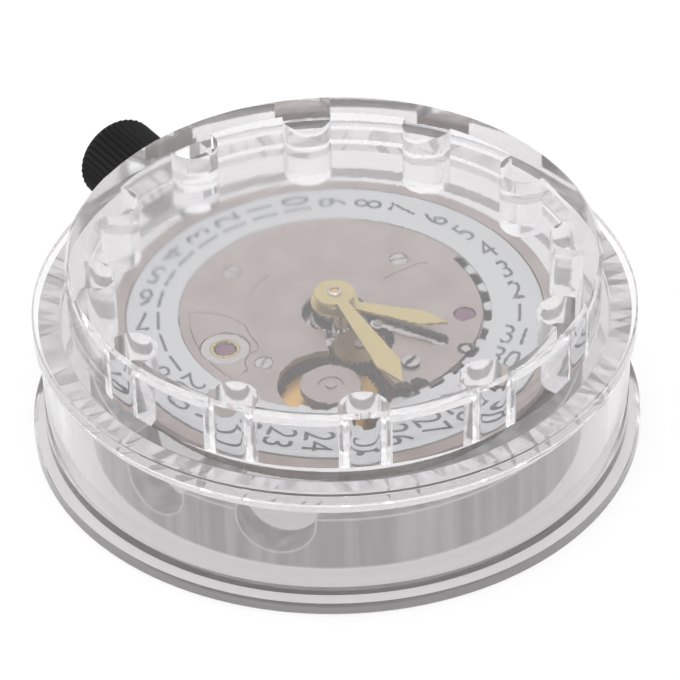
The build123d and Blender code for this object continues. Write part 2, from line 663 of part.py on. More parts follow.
def calendar_plate():
    """Thin cover whose lip lies over the ring's teeth, but for a sector by the date work."""
    z0, z1 = COVER_SEAT, PLATE_TOP
    low, high = z0 - OVERRUN, z1 + OVERRUN
    body = cover_outline(0, z0, z1) & disc(COVER_R, z0, z1)
    body += ring(COVER_R + LIP_W, COVER_R - CLEAR, z1 - LIP_T, z1) - wedge(LIP_OPEN_ANGLES, low, high)
    body -= date_window(low, high) + lever_window(low, high)
    body -= disc(SHOCK_R + CLEAR, low, high, BALANCE_AT)
    for at in COVER_SCREWS:
        body -= screw_hole(COVER_SCREW_R, high, z1 - COVER_HEAD_T, low, at)
    body -= disc(SHANK_SHARE * RAISED_SCREW_R + PIVOT_CLEAR, low, high, RAISED_SCREW_AT)
    body -= disc(JEWEL_R + CLEAR, low, high, DIAL_JEWEL_AT)
    return largest(body - surface_lines(z1 - LINE_DEPTH, high))


# Main plate

RING_FIT = 0.12
COVER_FIT = 0.08
TOOTH_GROOVE_DEPTH = 0.7
WINDOW_DEPTH = 0.8
KEYLESS_INNER = 5.4
KEYLESS_FRONT = 1.6
KEYLESS_HALF = 3.3
KEYLESS_EDGE = 0.2
CHANNEL_HALF = 1.45
CHANNEL_ROOM = 0.15
GROOVE_ROOM_IN = 0.8
GROOVE_ROOM_OUT = 1.05
GROOVE_ROOM_HALF = 0.75
SCREW_PILLAR_R = 0.75
ISLAND_GAP = 0.1
FORK_ROOM_W = 3.4
SCREW_WALL = 0.1
COVER_SCREW_DEPTH = 0.7


def under_recesses():
    """Hollows of the plate's underside for the barrel, the train and the escapement."""
    deep = PLATE_BOTTOM - OVERRUN
    under = disc(tip_r(BARREL_TEETH, BARREL_MODULE) + WHEEL_ROOM, deep, BARREL_CEILING, BARREL_AT)
    wheels = ((CENTRE, tip_r(CENTRE_PINION_TEETH, BARREL_MODULE)), (THIRD_AT, tip_r(THIRD_TEETH, THIRD_MODULE)),
              (FOURTH_AT, tip_r(FOURTH_TEETH, FOURTH_MODULE)), (ESCAPE_AT, ESCAPE_R))
    for at, radius in wheels:
        under += disc(radius + WHEEL_ROOM, deep, TRAIN_CEILING, at)
    under += bar(ESCAPE_AT, BALANCE_AT, FORK_ROOM_W, deep, TRAIN_CEILING)
    under += disc(STAFF_R + CLEAR, deep, SHOCK_Z + OVERRUN, BALANCE_AT)
    for at in (THIRD_AT, FOURTH_AT, ESCAPE_AT, PALLET_AT):
        under += disc(PIVOT_R + PIVOT_CLEAR, deep, TRAIN_HEAD + PIVOT_CLEAR, at)
    return under


def keyless_recess():
    """Pocket for the levers and channel for the stem, the pinion and the clutch."""
    deep, high = PLATE_BOTTOM - OVERRUN, PLATE_TOP + OVERRUN
    pocket = block(KEYLESS_INNER, RING_R - KEYLESS_EDGE, -KEYLESS_FRONT, KEYLESS_HALF, KEYLESS_FLOOR, high)
    pocket -= disc(SCREW_PILLAR_R, KEYLESS_FLOOR - OVERRUN, high + OVERRUN, COVER_SCREWS[0])
    channel = block(STEM_IN - KEYLESS_EDGE, PINION_X + PINION_L + CHANNEL_ROOM, -CHANNEL_HALF, CHANNEL_HALF,
                    deep, high)
    groove = block(GROOVE_X - GROOVE_ROOM_IN, GROOVE_X + GROOVE_ROOM_OUT, -GROOVE_ROOM_HALF, GROOVE_ROOM_HALF,
                   STEM_Z, high)
    return (pocket + channel + groove) & disc(RING_R - KEYLESS_EDGE + CLEAR, deep, high)


def dial_recess():
    """Ring seat, tooth groove, works hollow and the flat that carries the calendar plate."""
    high = PLATE_TOP + OVERRUN
    seat_in = COVER_R + COVER_FIT
    body = ring(RING_R + RING_FIT, seat_in, RING_SEAT, high)
    body += ring(RING_ROOT_R, seat_in, PLATE_TOP - TOOTH_GROOVE_DEPTH, high)
    body += disc(tip_r(HOUR_TEETH, HOUR_MODULE) + WHEEL_ROOM, WORKS_FLOOR, high)
    body += disc(tip_r(MINUTE_TEETH, CANNON_MODULE) + WHEEL_ROOM, WORKS_FLOOR, high, MINUTE_AT)
    body += disc(tip_r(DATE_TEETH, DATE_MODULE) + WHEEL_ROOM, DATE_FLOOR, high, DATE_AT)
    body += disc(tip_r(IDLER_TEETH, DATE_MODULE) + WHEEL_ROOM, DATE_FLOOR, high, IDLER_AT)
    body += date_window(PLATE_TOP - WINDOW_DEPTH, high)
    body += bar(JUMPER_AT, JUMPER_END, JUMPER_SLOT_W, JUMPER_Z - CLEAR, high)
    island = disc(COVER_R - ISLAND_GAP, COVER_SEAT - OVERRUN, high + OVERRUN)
    island -= cover_outline(CLEAR, COVER_SEAT - 2 * OVERRUN, high + 2 * OVERRUN)
    return body + (disc(seat_in, COVER_SEAT, high) - island)


def main_plate():
    """Round main plate, with the stem hole, seats and recesses."""
    body = disc(PLATE_R, PLATE_BOTTOM, PLATE_TOP) - ring(
        PLATE_R + OVERRUN, PLATE_STEP_R, PLATE_BOTTOM - OVERRUN, PLATE_BOTTOM + FACE_CLEAR)
    body -= dial_recess() + under_recesses() + keyless_recess()
    body -= axle(STEM_R + PIVOT_CLEAR, PINION_X, PLATE_R + OVERRUN)
    body += ring(ARBOR_TUBE_R, ARBOR_R + PIVOT_CLEAR, TRAIN_CEILING - PIVOT_CLEAR, WORKS_FLOOR + PIVOT_CLEAR)
    body -= disc(ARBOR_R + PIVOT_CLEAR, PLATE_BOTTOM, PLATE_TOP)
    body += disc(POST_R, WORKS_FLOOR - PIVOT_CLEAR, COVER_SEAT - CLEAR, MINUTE_AT)
    body += disc(POST_R, DATE_FLOOR - PIVOT_CLEAR, PLATE_TOP, DATE_AT)
    body += disc(POST_R, DATE_FLOOR - PIVOT_CLEAR, COVER_SEAT, IDLER_AT)
    body -= disc(SHOCK_R + CLEAR, SHOCK_Z, PLATE_TOP + OVERRUN, BALANCE_AT)
    shank_r = SHANK_SHARE * SCREW_R + PIVOT_CLEAR
    for at in BRIDGE_SCREWS + [COCK_FOOT]:
        body -= disc(shank_r, PLATE_BOTTOM - OVERRUN, PLATE_BOTTOM + SCREW_GRIP + CLEAR, at)
    for at in COVER_SCREWS + [RAISED_SCREW_AT]:
        body -= disc(SHANK_SHARE * RAISED_SCREW_R + PIVOT_CLEAR, COVER_SEAT - COVER_SCREW_DEPTH, PLATE_TOP, at)
    body -= disc(JEWEL_R + PIVOT_CLEAR, PLATE_TOP - JEWEL_T - JEWEL_BED_T, PLATE_TOP + OVERRUN, DIAL_JEWEL_AT)
    return largest(body)


def cover_screws():
    """Flush screws of the calendar plate."""
    head_z, end_z = PLATE_TOP - COVER_HEAD_T, COVER_SEAT - COVER_GRIP
    return [screw(COVER_SCREW_R, head_z, COVER_HEAD_T - PIVOT_CLEAR, end_z, at, 25 + 50 * index)
            for index, at in enumerate(COVER_SCREWS)]


def raised_screw():
    """Raised bright screw of the calendar plate."""
    return screw(RAISED_SCREW_R, PLATE_TOP, RAISED_HEAD_T, COVER_SEAT - COVER_GRIP, RAISED_SCREW_AT, 105)


def dial_jewel():
    """Large jewel beside the date ring."""
    stone = disc(JEWEL_R, PLATE_TOP - JEWEL_T, PLATE_TOP - PIVOT_CLEAR, DIAL_JEWEL_AT)
    return fillet(stone.edges().group_by(Axis.Z)[-1], JEWEL_ROUND)


# Date ring and its jumper

RING_TOOTH_T = 0.08
TOOTH_ROOT_SHARE, TOOTH_TIP_SHARE = 0.25, 0.16
JUMPER_W = 0.42
JUMPER_EYE_R = 0.45
JUMPER_PAD_R = 0.26
JUMPER_WIRE_W = 0.1
JUMPER_WIRE_GAP = 0.36
JUMPER_WIRE_L = 1.7


def date_ring():
    """Flat date ring with its thinner inner teeth; the numerals are printed, not cut."""
    body = ring(RING_R, RING_ROOT_R, RING_Z, RING_Z + RING_T)
    pitch = 360 / RING_TEETH
    for index in range(RING_TEETH):
        angle = (index + 0.5) * pitch
        root, tip = TOOTH_ROOT_SHARE * pitch, TOOTH_TIP_SHARE * pitch
        tooth = [polar(RING_ROOT_R + CLEAR, angle - root), polar(RING_TIP_R, angle - tip),
                 polar(RING_TIP_R, angle + tip), polar(RING_ROOT_R + CLEAR, angle + root)]
        body += plate(tooth, RING_Z, RING_Z + RING_TOOTH_T)
    return body


def date_jumper():
    """Lever with its wire spring, which holds the date ring by the teeth."""
    z0, z1 = JUMPER_Z, COVER_SEAT - CLEAR
    body = bar(JUMPER_AT, JUMPER_END, JUMPER_W, z0, z1) + disc(JUMPER_EYE_R, z0, z1, JUMPER_AT)
    body += disc(JUMPER_PAD_R, z1, RING_SEAT + RING_T, JUMPER_END)
    line = heading(JUMPER_AT, JUMPER_END)
    wire_start = polar(JUMPER_WIRE_GAP, line + 90, JUMPER_AT)
    wire_end = polar(JUMPER_WIRE_L, line, wire_start)
    body += bar(wire_start, wire_end, JUMPER_WIRE_W, z0, z1)
    return body - post_hole(JUMPER_AT, z0, z1)


def jumper_post():
    """Post that the date jumper turns on."""
    return disc(LEVER_POST_R, JUMPER_Z - CLEAR, COVER_SEAT, JUMPER_AT)


# Motion works and date train

GEAR_T = 0.16
CANNON_LIFT = 0.03
CANNON_GEAR_T = 0.2
CANNON_BEVEL = 0.06
MINUTE_LIFT = 0.05
MINUTE_PINION_L = 0.28
HOUR_LIFT = 0.27
PIPE_R = 0.43
HOUR_PIPE_R = 0.75
HOUR_PIPE_DROP = 0.2
DATE_LIFT = 0.08
DATE_T = 0.2
DATE_PINION_T = 0.22
IDLER_HUB_R = 0.45
DATE_HUB_R = 0.72
DATE_DISC_SHARE = 0.2016129
DATE_DISC_R = DATE_DISC_SHARE * RING_TIP_R
DATE_DISC_T = 0.38
DATE_DISH_DEPTH = 0.1
DATE_FINGER_SHARE = 0.19124424
DATE_FINGER_R = DATE_FINGER_SHARE * RING_TIP_R
DATE_FINGER_W = 0.5
DATE_FINGER_T = 0.18
DATE_FINGER_ANGLE = -150
HOUR_HAND_RISE = 0.62
HAND_GAP = 0.64
PINION_RISE = 0.36
DATE_Z = DATE_FLOOR + DATE_LIFT
HOUR_Z = WORKS_FLOOR + HOUR_LIFT
DATE_PINION_Z = HOUR_Z + GEAR_T + FACE_CLEAR
HOUR_HAND_Z = PLATE_TOP + HOUR_HAND_RISE
MINUTE_HAND_Z = HOUR_HAND_Z + HAND_GAP
PINION_TOP = MINUTE_HAND_Z + PINION_RISE


def idler_phase():
    """Phase of the date idler against the hour wheel's date pinion."""
    return mesh_phase(DATE_PINION_TEETH, 0.0, CENTRE, IDLER_TEETH, IDLER_AT)


def hour_wheel():
    """Hour wheel with its drum, date pinion and hand pipe."""
    gear_phase = mesh_phase(MINUTE_PINION_TEETH, 0.0, MINUTE_AT, HOUR_TEETH, CENTRE)
    body = toothed(HOUR_TEETH, HOUR_MODULE, HOUR_Z, HOUR_Z + GEAR_T, CENTRE, gear_phase)
    body += toothed(DATE_PINION_TEETH, DATE_MODULE, DATE_PINION_Z, DATE_PINION_Z + DATE_PINION_T)
    body += disc(DRUM_R, HOUR_Z, HOUR_HAND_Z)
    body += disc(HOUR_PIPE_R, HOUR_HAND_Z, MINUTE_HAND_Z - HOUR_PIPE_DROP)
    return body - disc(PIPE_R + CLEAR, HOUR_Z - OVERRUN, MINUTE_HAND_Z)


def minute_wheel():
    """Minute wheel and its pinion, turning on a post of the plate."""
    z0 = WORKS_FLOOR + MINUTE_LIFT
    z1 = z0 + GEAR_T
    phase = mesh_phase(CANNON_TEETH, 0.0, CENTRE, MINUTE_TEETH, MINUTE_AT)
    body = toothed(MINUTE_TEETH, CANNON_MODULE, z0, z1, MINUTE_AT, phase)
    body += toothed(MINUTE_PINION_TEETH, HOUR_MODULE, z1, z1 + MINUTE_PINION_L, MINUTE_AT)
    return body - disc(POST_R + PIVOT_CLEAR, z0 - OVERRUN, z1 + MINUTE_PINION_L + OVERRUN, MINUTE_AT)


def cannon_pinion():
    """Cannon pinion that carries the minute hand."""
    z0 = WORKS_FLOOR + CANNON_LIFT
    body = toothed(CANNON_TEETH, CANNON_MODULE, z0, z0 + CANNON_GEAR_T) + disc(PIPE_R, z0, PINION_TOP)
    body = chamfer(body.edges().group_by(Axis.Z)[-1], CANNON_BEVEL)
    return body - disc(ARBOR_R + PIVOT_CLEAR, z0 - OVERRUN, PINION_TOP + OVERRUN)


def date_idler():
    """Two gears on one hub that take the date drive down past the hour wheel."""
    top = DATE_PINION_Z + DATE_PINION_T
    body = toothed(IDLER_TEETH, DATE_MODULE, DATE_Z, DATE_Z + DATE_T, IDLER_AT, idler_phase())
    body += toothed(IDLER_TEETH, DATE_MODULE, DATE_PINION_Z, top, IDLER_AT, idler_phase())
    body += disc(IDLER_HUB_R, DATE_Z, top, IDLER_AT)
    return body - disc(POST_R + PIVOT_CLEAR, DATE_FLOOR, PLATE_TOP, IDLER_AT)


def date_wheel():
    """Brass date wheel that turns once a day."""
    phase = mesh_phase(IDLER_TEETH, idler_phase(), IDLER_AT, DATE_TEETH, DATE_AT)
    body = toothed(DATE_TEETH, DATE_MODULE, DATE_Z, DATE_Z + DATE_T, DATE_AT, phase)
    return body - disc(POST_R + PIVOT_CLEAR, DATE_FLOOR, PLATE_TOP, DATE_AT)


def date_finger_disc():
    """Steel disc high above the date wheel, on its hub, with the finger that moves the ring."""
    top = PLATE_TOP - PIVOT_CLEAR
    body = disc(DATE_HUB_R, DATE_Z + DATE_T, top, DATE_AT) + disc(DATE_DISC_R, top - DATE_DISC_T, top, DATE_AT)
    finger_end = polar(DATE_FINGER_R, DATE_FINGER_ANGLE, DATE_AT)
    body += bar(DATE_AT, finger_end, DATE_FINGER_W, top - DATE_FINGER_T, top)
    body -= disc(DATE_HUB_R, top - DATE_DISH_DEPTH, top + OVERRUN, DATE_AT)
    return body - disc(POST_R + PIVOT_CLEAR, DATE_FLOOR, PLATE_TOP + OVERRUN, DATE_AT)


# Hands

HAND_T = 0.16
HAND_WAIST_W = 0.5
HOUR_HAND_L = 6.85
HOUR_HAND_W = 1.25
HOUR_BROAD_SHARE = 0.77
HOUR_BOSS_R = 1.38
HOUR_ANGLE = -143.4
MINUTE_HAND_L = 9.25
MINUTE_HAND_W = 1.45
MINUTE_BROAD_SHARE = 0.79
MINUTE_BOSS_R = 1.18
MINUTE_HAND_ANGLE = 169.5


def hand(length, broad_w, broad_share, boss_r, bore_r, z0, angle):
    """Pencil hand: narrow at the boss, broad past the middle, then pointed."""
    broad = broad_share * length
    points = [(0, -HAND_WAIST_W / 2), (broad, -broad_w / 2), (length, 0), (broad, broad_w / 2),
              (0, HAND_WAIST_W / 2)]
    body = plate(points, z0, z0 + HAND_T) + disc(boss_r, z0, z0 + HAND_T)
    return Rot(0, 0, angle) * (body - disc(bore_r, z0 - OVERRUN, z0 + HAND_T + OVERRUN))


def hour_hand():
    """Hour hand, pressed on the hour wheel's pipe."""
    return hand(HOUR_HAND_L, HOUR_HAND_W, HOUR_BROAD_SHARE, HOUR_BOSS_R, HOUR_PIPE_R, HOUR_HAND_Z, HOUR_ANGLE)


def minute_hand():
    """Minute hand, pressed on the cannon pinion."""
    return hand(MINUTE_HAND_L, MINUTE_HAND_W, MINUTE_BROAD_SHARE, MINUTE_BOSS_R, PIPE_R, MINUTE_HAND_Z,
                MINUTE_HAND_ANGLE)


# Barrel and winding wheels

BARREL_RISE = 0.42
BARREL_T = 1.08
BARREL_WALL = 0.3
BARREL_EDGE = 0.3
BARREL_LID_T = 0.2
FLANGE_RISE = 0.3
FLANGE_T = 0.28
ARBOR_CORE_R = 1.1
ARBOR_NECK_R = 0.8
ARBOR_TIP_R = 0.4
ARBOR_SQUARE_W = 0.99
SPRING_TURNS = 9
SPRING_T = 0.12
RATCHET_GAP = 0.1
RATCHET_T = 0.23
CROWN_HUB_OUTER_R = 1.2
CONTRATE_R = 2.3
CONTRATE_LIFT = 0.32
CONTRATE_GAP = 0.08
CONTRATE_TEETH = 24
CONTRATE_FACE_W = 1.1
CONTRATE_DEPTH = 0.2
CONTRATE_SLOT_W = 0.28
BARREL_Z = BRIDGE_TOP + BARREL_RISE
BARREL_TOP = BARREL_Z + BARREL_T
BARREL_INSIDE_Z = BARREL_Z + BARREL_LID_T + CLEAR
BARREL_INSIDE_TOP = BARREL_TOP - BARREL_WALL
BARREL_R = BARREL_MODULE * BARREL_TEETH / 2 - BARREL_EDGE
BARREL_BORE = BARREL_R - BARREL_WALL
RATCHET_Z = AUTO_TOP + RATCHET_GAP
RATCHET_TOP = RATCHET_Z + RATCHET_T
CONTRATE_Z = BRIDGE_Z + CONTRATE_LIFT
CONTRATE_TOP = STEM_Z - PINION_R - CONTRATE_GAP


def barrel_drum():
    """Going barrel with its toothed flange."""
    flange_z = BARREL_Z + FLANGE_RISE
    body = toothed(BARREL_TEETH, BARREL_MODULE, flange_z, flange_z + FLANGE_T, BARREL_AT)
    body += disc(BARREL_R, BARREL_Z, BARREL_TOP, BARREL_AT)
    body -= disc(BARREL_BORE, BARREL_Z - OVERRUN, BARREL_INSIDE_TOP, BARREL_AT)
    return body - disc(ARBOR_TIP_R + CLEAR, BARREL_Z, BARREL_TOP + OVERRUN, BARREL_AT)


def barrel_cover():
    """Snap-in lid of the barrel."""
    return ring(BARREL_BORE, ARBOR_NECK_R + CLEAR, BARREL_Z, BARREL_Z + BARREL_LID_T, BARREL_AT)


def barrel_arbor():
    """Arbor that the mainspring is hooked to, squared for the ratchet wheel."""
    body = disc(ARBOR_CORE_R, BARREL_INSIDE_Z, BARREL_INSIDE_TOP - CLEAR, BARREL_AT)
    body += disc(ARBOR_TIP_R, BARREL_INSIDE_Z, BARREL_TOP + CLEAR, BARREL_AT)
    body += disc(ARBOR_NECK_R, RATCHET_TOP, BARREL_INSIDE_Z, BARREL_AT)
    return body + Pos(BARREL_AT[0], BARREL_AT[1], RATCHET_Z) * Box(
        ARBOR_SQUARE_W, ARBOR_SQUARE_W, RATCHET_T, align=MIN_ALIGN)


def spiral(inner, outer, turns, thickness, z0, z1, at, steps):
    """Flat spiral strip from an inner to an outer radius."""
    count = turns * steps
    edge_in, edge_out = [], []
    for index in range(count + 1):
        radius = inner + (outer - inner) * index / count
        edge_in.append(polar(radius, 360 * index / steps))
        edge_out.append(polar(radius + thickness, 360 * index / steps))
    return Pos(at[0], at[1], 0) * plate(edge_in + edge_out[::-1], z0, z1)


def mainspring():
    """Mainspring coiled in the barrel."""
    return spiral(ARBOR_CORE_R + CLEAR, BARREL_BORE - SPRING_T - 3 * CLEAR, SPRING_TURNS, SPRING_T,
                  BARREL_INSIDE_Z, BARREL_INSIDE_TOP - CLEAR, BARREL_AT, 14)


def ratchet_wheel():
    """Ratchet wheel on the square of the barrel arbor."""
    body = toothed(RATCHET_TEETH, RATCHET_MODULE, RATCHET_Z, RATCHET_TOP, BARREL_AT)
    return body - Pos(BARREL_AT[0], BARREL_AT[1], RATCHET_Z - OVERRUN) * Box(
        ARBOR_SQUARE_W, ARBOR_SQUARE_W, RATCHET_T + 2 * OVERRUN, align=MIN_ALIGN)


def crown_wheel():
    """Crown wheel below the barrel bridge, driving the ratchet wheel."""
    phase = mesh_phase(RATCHET_TEETH, 0.0, BARREL_AT, CROWN_WHEEL_TEETH, CROWN_WHEEL_AT)
    body = toothed(CROWN_WHEEL_TEETH, RATCHET_MODULE, RATCHET_Z, RATCHET_TOP, CROWN_WHEEL_AT, phase)
    return body + disc(CROWN_HUB_OUTER_R, RATCHET_TOP, CONTRATE_Z, CROWN_WHEEL_AT)


def contrate_wheel():
    """Face-toothed wheel on the crown wheel's hub, under the winding pinion."""
    low, high = CONTRATE_TOP - CONTRATE_DEPTH, CONTRATE_TOP + OVERRUN
    body = disc(CONTRATE_R, CONTRATE_Z, CONTRATE_TOP) - disc(CONTRATE_R - CONTRATE_FACE_W, low, high)
    gap = block(CONTRATE_R - CONTRATE_FACE_W - CLEAR, CONTRATE_R + OVERRUN, -CONTRATE_SLOT_W / 2,
                CONTRATE_SLOT_W / 2, low, high)
    for index in range(CONTRATE_TEETH):
        body -= Rot(0, 0, index * 360 / CONTRATE_TEETH) * gap
    return Pos(CROWN_WHEEL_AT[0], CROWN_WHEEL_AT[1], 0) * body


# Going train

TRAIN_FOOT_RISE = 0.1
CENTRE_LIFT = 0.1
CENTRE_T = 0.2
CENTRE_PINION_L = 0.78
ARBOR_SINK = 0.12
THIRD_DROP = 0.3
WHEEL_T = 0.15
THIRD_PINION_LIFT = 0.06
THIRD_PINION_L = 0.36
FOURTH_LIFT = 0.5
FOURTH_PINION_DROP = 0.35
TRAIN_PINION_L = 0.3
ESCAPE_PINION_LIFT = 0.44
TRAIN_FOOT = BRIDGE_Z + TRAIN_FOOT_RISE


def pinion_of(wheel_teeth, wheel_at, pinion_teeth, module, z0, length, at):
    """Pinion turned so that it meshes with the wheel that drives it."""
    phase = mesh_phase(wheel_teeth, 0.0, wheel_at, pinion_teeth, at)
    return toothed(pinion_teeth, module, z0, z0 + length, at, phase)


def centre_wheel():
    """Centre wheel whose long arbor reaches up through the cannon pinion."""
    z0 = BRIDGE_TOP + CENTRE_LIFT
    body = train_wheel(CENTRE_TEETH, CENTRE_MODULE, z0, z0 + CENTRE_T, CENTRE)
    body += pinion_of(BARREL_TEETH, BARREL_AT, CENTRE_PINION_TEETH, BARREL_MODULE, z0 + CENTRE_T,
                      CENTRE_PINION_L, CENTRE)
    return body + disc(ARBOR_R, TRAIN_FOOT, PINION_TOP - ARBOR_SINK)


def third_wheel():
    """Third wheel close under the main plate."""
    z0 = TRAIN_CEILING - THIRD_DROP
    body = train_wheel(THIRD_TEETH, THIRD_MODULE, z0, z0 + WHEEL_T, THIRD_AT)
    body += pinion_of(CENTRE_TEETH, CENTRE, THIRD_PINION_TEETH, CENTRE_MODULE,
                      BRIDGE_TOP + THIRD_PINION_LIFT, THIRD_PINION_L, THIRD_AT)
    return body + disc(PIVOT_R, TRAIN_FOOT, TRAIN_HEAD, THIRD_AT)


def fourth_wheel():
    """Fourth wheel, which turns once a minute."""
    z0 = BRIDGE_TOP + FOURTH_LIFT
    body = train_wheel(FOURTH_TEETH, FOURTH_MODULE, z0, z0 + WHEEL_T, FOURTH_AT)
    body += pinion_of(THIRD_TEETH, THIRD_AT, FOURTH_PINION_TEETH, THIRD_MODULE,
                      TRAIN_CEILING - FOURTH_PINION_DROP, TRAIN_PINION_L, FOURTH_AT)
    return body + disc(PIVOT_R, TRAIN_FOOT, TRAIN_HEAD, FOURTH_AT)


# Escapement

FORK_RISE = 0.33
FORK_T = 0.16
ESCAPE_LEAD = 6
ESCAPE_ROOT_SHARE = 0.78
ESCAPE_RIM_SHARE, ESCAPE_HUB_SHARE = 0.66, 0.24
ESCAPE_ARM_W = 0.26
ESCAPE_ARMS = 4
PALLET_SPAN = 30
STONE_W = 0.22
STONE_L = 0.5
STONE_T = 0.14
FORK_LEVER_W = 0.3
FORK_ARM_W = 0.42
HORN_W = 0.2
HORN_TIP_W = 0.16
HORN_SPREAD = 0.28
HORN_L = 0.42
HORN_ANGLE = 12
FORK_GAP = 0.3
PALLET_ARBOR_L = 1.2
ROLLER_R = 0.9
ROLLER_T = 0.14
ROLLER_DROP = 0.33
IMPULSE_RADIUS = 0.62
IMPULSE_R = 0.08
FORK_Z = PLATE_BOTTOM + FORK_RISE
FORK_TOP = FORK_Z + FORK_T


def escape_wheel():
    """Escape wheel with raked club teeth, and its pinion."""
    points = []
    pitch = 360 / ESCAPE_TEETH
    root_r = ESCAPE_R * ESCAPE_ROOT_SHARE
    for index in range(ESCAPE_TEETH):
        angle = heading(ESCAPE_AT, PALLET_AT) - ESCAPE_LEAD + index * pitch
        points += [polar(root_r, angle - 0.34 * pitch), polar(ESCAPE_R, angle - 0.05 * pitch),
                   polar(ESCAPE_R, angle + 0.05 * pitch), polar(root_r, angle - 0.12 * pitch)]
    body = Pos(ESCAPE_AT[0], ESCAPE_AT[1], 0) * plate(points, FORK_Z, FORK_TOP)
    body -= crossings(ESCAPE_R * ESCAPE_RIM_SHARE, ESCAPE_R * ESCAPE_HUB_SHARE, ESCAPE_ARMS, ESCAPE_ARM_W,
                      FORK_Z, FORK_TOP, ESCAPE_AT)
    body += pinion_of(FOURTH_TEETH, FOURTH_AT, ESCAPE_PINION_TEETH, FOURTH_MODULE,
                      BRIDGE_TOP + ESCAPE_PINION_LIFT, TRAIN_PINION_L, ESCAPE_AT)
    return body + disc(PIVOT_R, TRAIN_FOOT, TRAIN_HEAD, ESCAPE_AT)


def pallet_stone_places():
    """Inner corner and heading of the two pallet stones."""
    line = heading(ESCAPE_AT, PALLET_AT)
    clear_r = ESCAPE_R + 3 * CLEAR + STONE_L / 2
    return [(polar(clear_r, line + sign * PALLET_SPAN, ESCAPE_AT), line + sign * PALLET_SPAN)
            for sign in (-1, 1)]


def pallet_fork():
    """Pallet fork: two arms, a lever towards the balance and a notch for the impulse pin."""
    line = heading(PALLET_AT, BALANCE_AT)
    end = polar(math.dist(PALLET_AT, BALANCE_AT) - IMPULSE_RADIUS - FORK_GAP, line, PALLET_AT)
    body = bar(PALLET_AT, end, FORK_LEVER_W, FORK_Z, FORK_TOP)
    for sign in (-1, 1):
        horn_root = polar(HORN_SPREAD, line + sign * 90, end)
        horn_tip = polar(HORN_L, line + sign * HORN_ANGLE, horn_root)
        body += bar(end, horn_root, HORN_W, FORK_Z, FORK_TOP)
        body += bar(horn_root, horn_tip, HORN_TIP_W, FORK_Z, FORK_TOP)
    for place, angle in pallet_stone_places():
        body += bar(PALLET_AT, polar(0.4 * STONE_L, angle, place), FORK_ARM_W, FORK_Z, FORK_TOP)
    return body + disc(PIVOT_R, TRAIN_HEAD - PALLET_ARBOR_L, TRAIN_HEAD, PALLET_AT)


def pallet_stones():
    """Two ruby pallets set under the fork's arms."""
    return [Pos(place[0], place[1], FORK_Z - STONE_T) * Rot(0, 0, angle) * Box(
        STONE_L, STONE_W, STONE_T, align=MIN_ALIGN) for place, angle in pallet_stone_places()]


# Balance

BALANCE_RIM_W = 0.55
BALANCE_LIFT = 0.2
BALANCE_T = 0.4
BALANCE_ARM_W = 0.7
BALANCE_ARM_T = 0.16
BALANCE_HUB_R = 0.6
BALANCE_ARM_ANGLE = 20
COCK_LIFT = 0.08
COCK_T = 0.35
STAFF_PIVOT_R = 0.07
STAFF_PIVOT_L = 0.35
STAFF_END_GAP = 0.12
HAIR_DROP = 0.3
HAIR_H = 0.14
HAIR_T = 0.05
HAIR_TURNS = 9
HAIR_INNER_R = 0.55
HAIR_OUTER_R = 2.6
COLLET_R = 0.58
COLLET_T = 0.2
STUD_GAP = 0.3
STUD_R = 0.25
BALANCE_Z = BRIDGE_Z + BALANCE_LIFT
COCK_Z = AUTO_Z + COCK_LIFT
HAIR_Z = BALANCE_Z - HAIR_DROP


def balance_wheel():
    """Smooth balance with two arms."""
    z0, z1 = BALANCE_Z, BALANCE_Z + BALANCE_T
    arm_z = z0 + (BALANCE_T - BALANCE_ARM_T) / 2
    body = ring(BALANCE_R, BALANCE_R - BALANCE_RIM_W, z0, z1, BALANCE_AT)
    arm_r = BALANCE_R - BALANCE_RIM_W / 2
    start = polar(arm_r, BALANCE_ARM_ANGLE, BALANCE_AT)
    body += bar(start, polar(-arm_r, BALANCE_ARM_ANGLE, BALANCE_AT), BALANCE_ARM_W / 2, arm_z,
                arm_z + BALANCE_ARM_T)
    body += disc(BALANCE_HUB_R, arm_z, arm_z + BALANCE_ARM_T, BALANCE_AT)
    return body - disc(STAFF_R, z0 - OVERRUN, z1 + OVERRUN, BALANCE_AT)


def balance_staff():
    """Staff with fine pivots at both ends."""
    low, high = COCK_Z + STAFF_END_GAP, SHOCK_Z + STAFF_END_GAP
    body = disc(STAFF_R, low + STAFF_PIVOT_L, high - STAFF_PIVOT_L, BALANCE_AT)
    return body + disc(STAFF_PIVOT_R, low, high, BALANCE_AT)


def roller():
    """Roller disc with the impulse pin that drives the fork."""
    toward = heading(BALANCE_AT, PALLET_AT)
    z0 = FORK_Z - ROLLER_DROP
    body = ring(ROLLER_R, STAFF_R, z0, z0 + ROLLER_T, BALANCE_AT)
    return body + disc(IMPULSE_R, z0 + ROLLER_T, FORK_TOP, polar(IMPULSE_RADIUS, toward, BALANCE_AT))


def hairspring():
    """Hairspring with its collet at the inner end."""
    strip = spiral(HAIR_INNER_R, HAIR_OUTER_R, HAIR_TURNS, HAIR_T, HAIR_Z, HAIR_Z + HAIR_H, BALANCE_AT, 14)
    return strip + ring(COLLET_R, STAFF_R, HAIR_Z - FACE_CLEAR, HAIR_Z - FACE_CLEAR + COLLET_T, BALANCE_AT)


def hairspring_stud():
    """Stud of the cock that holds the hairspring's outer end."""
    place = polar(HAIR_OUTER_R + HAIR_T / 2 + STUD_GAP, 0, BALANCE_AT)
    return disc(STUD_R, COCK_Z + COCK_T, HAIR_Z + HAIR_H, place)


# Bridges and cock

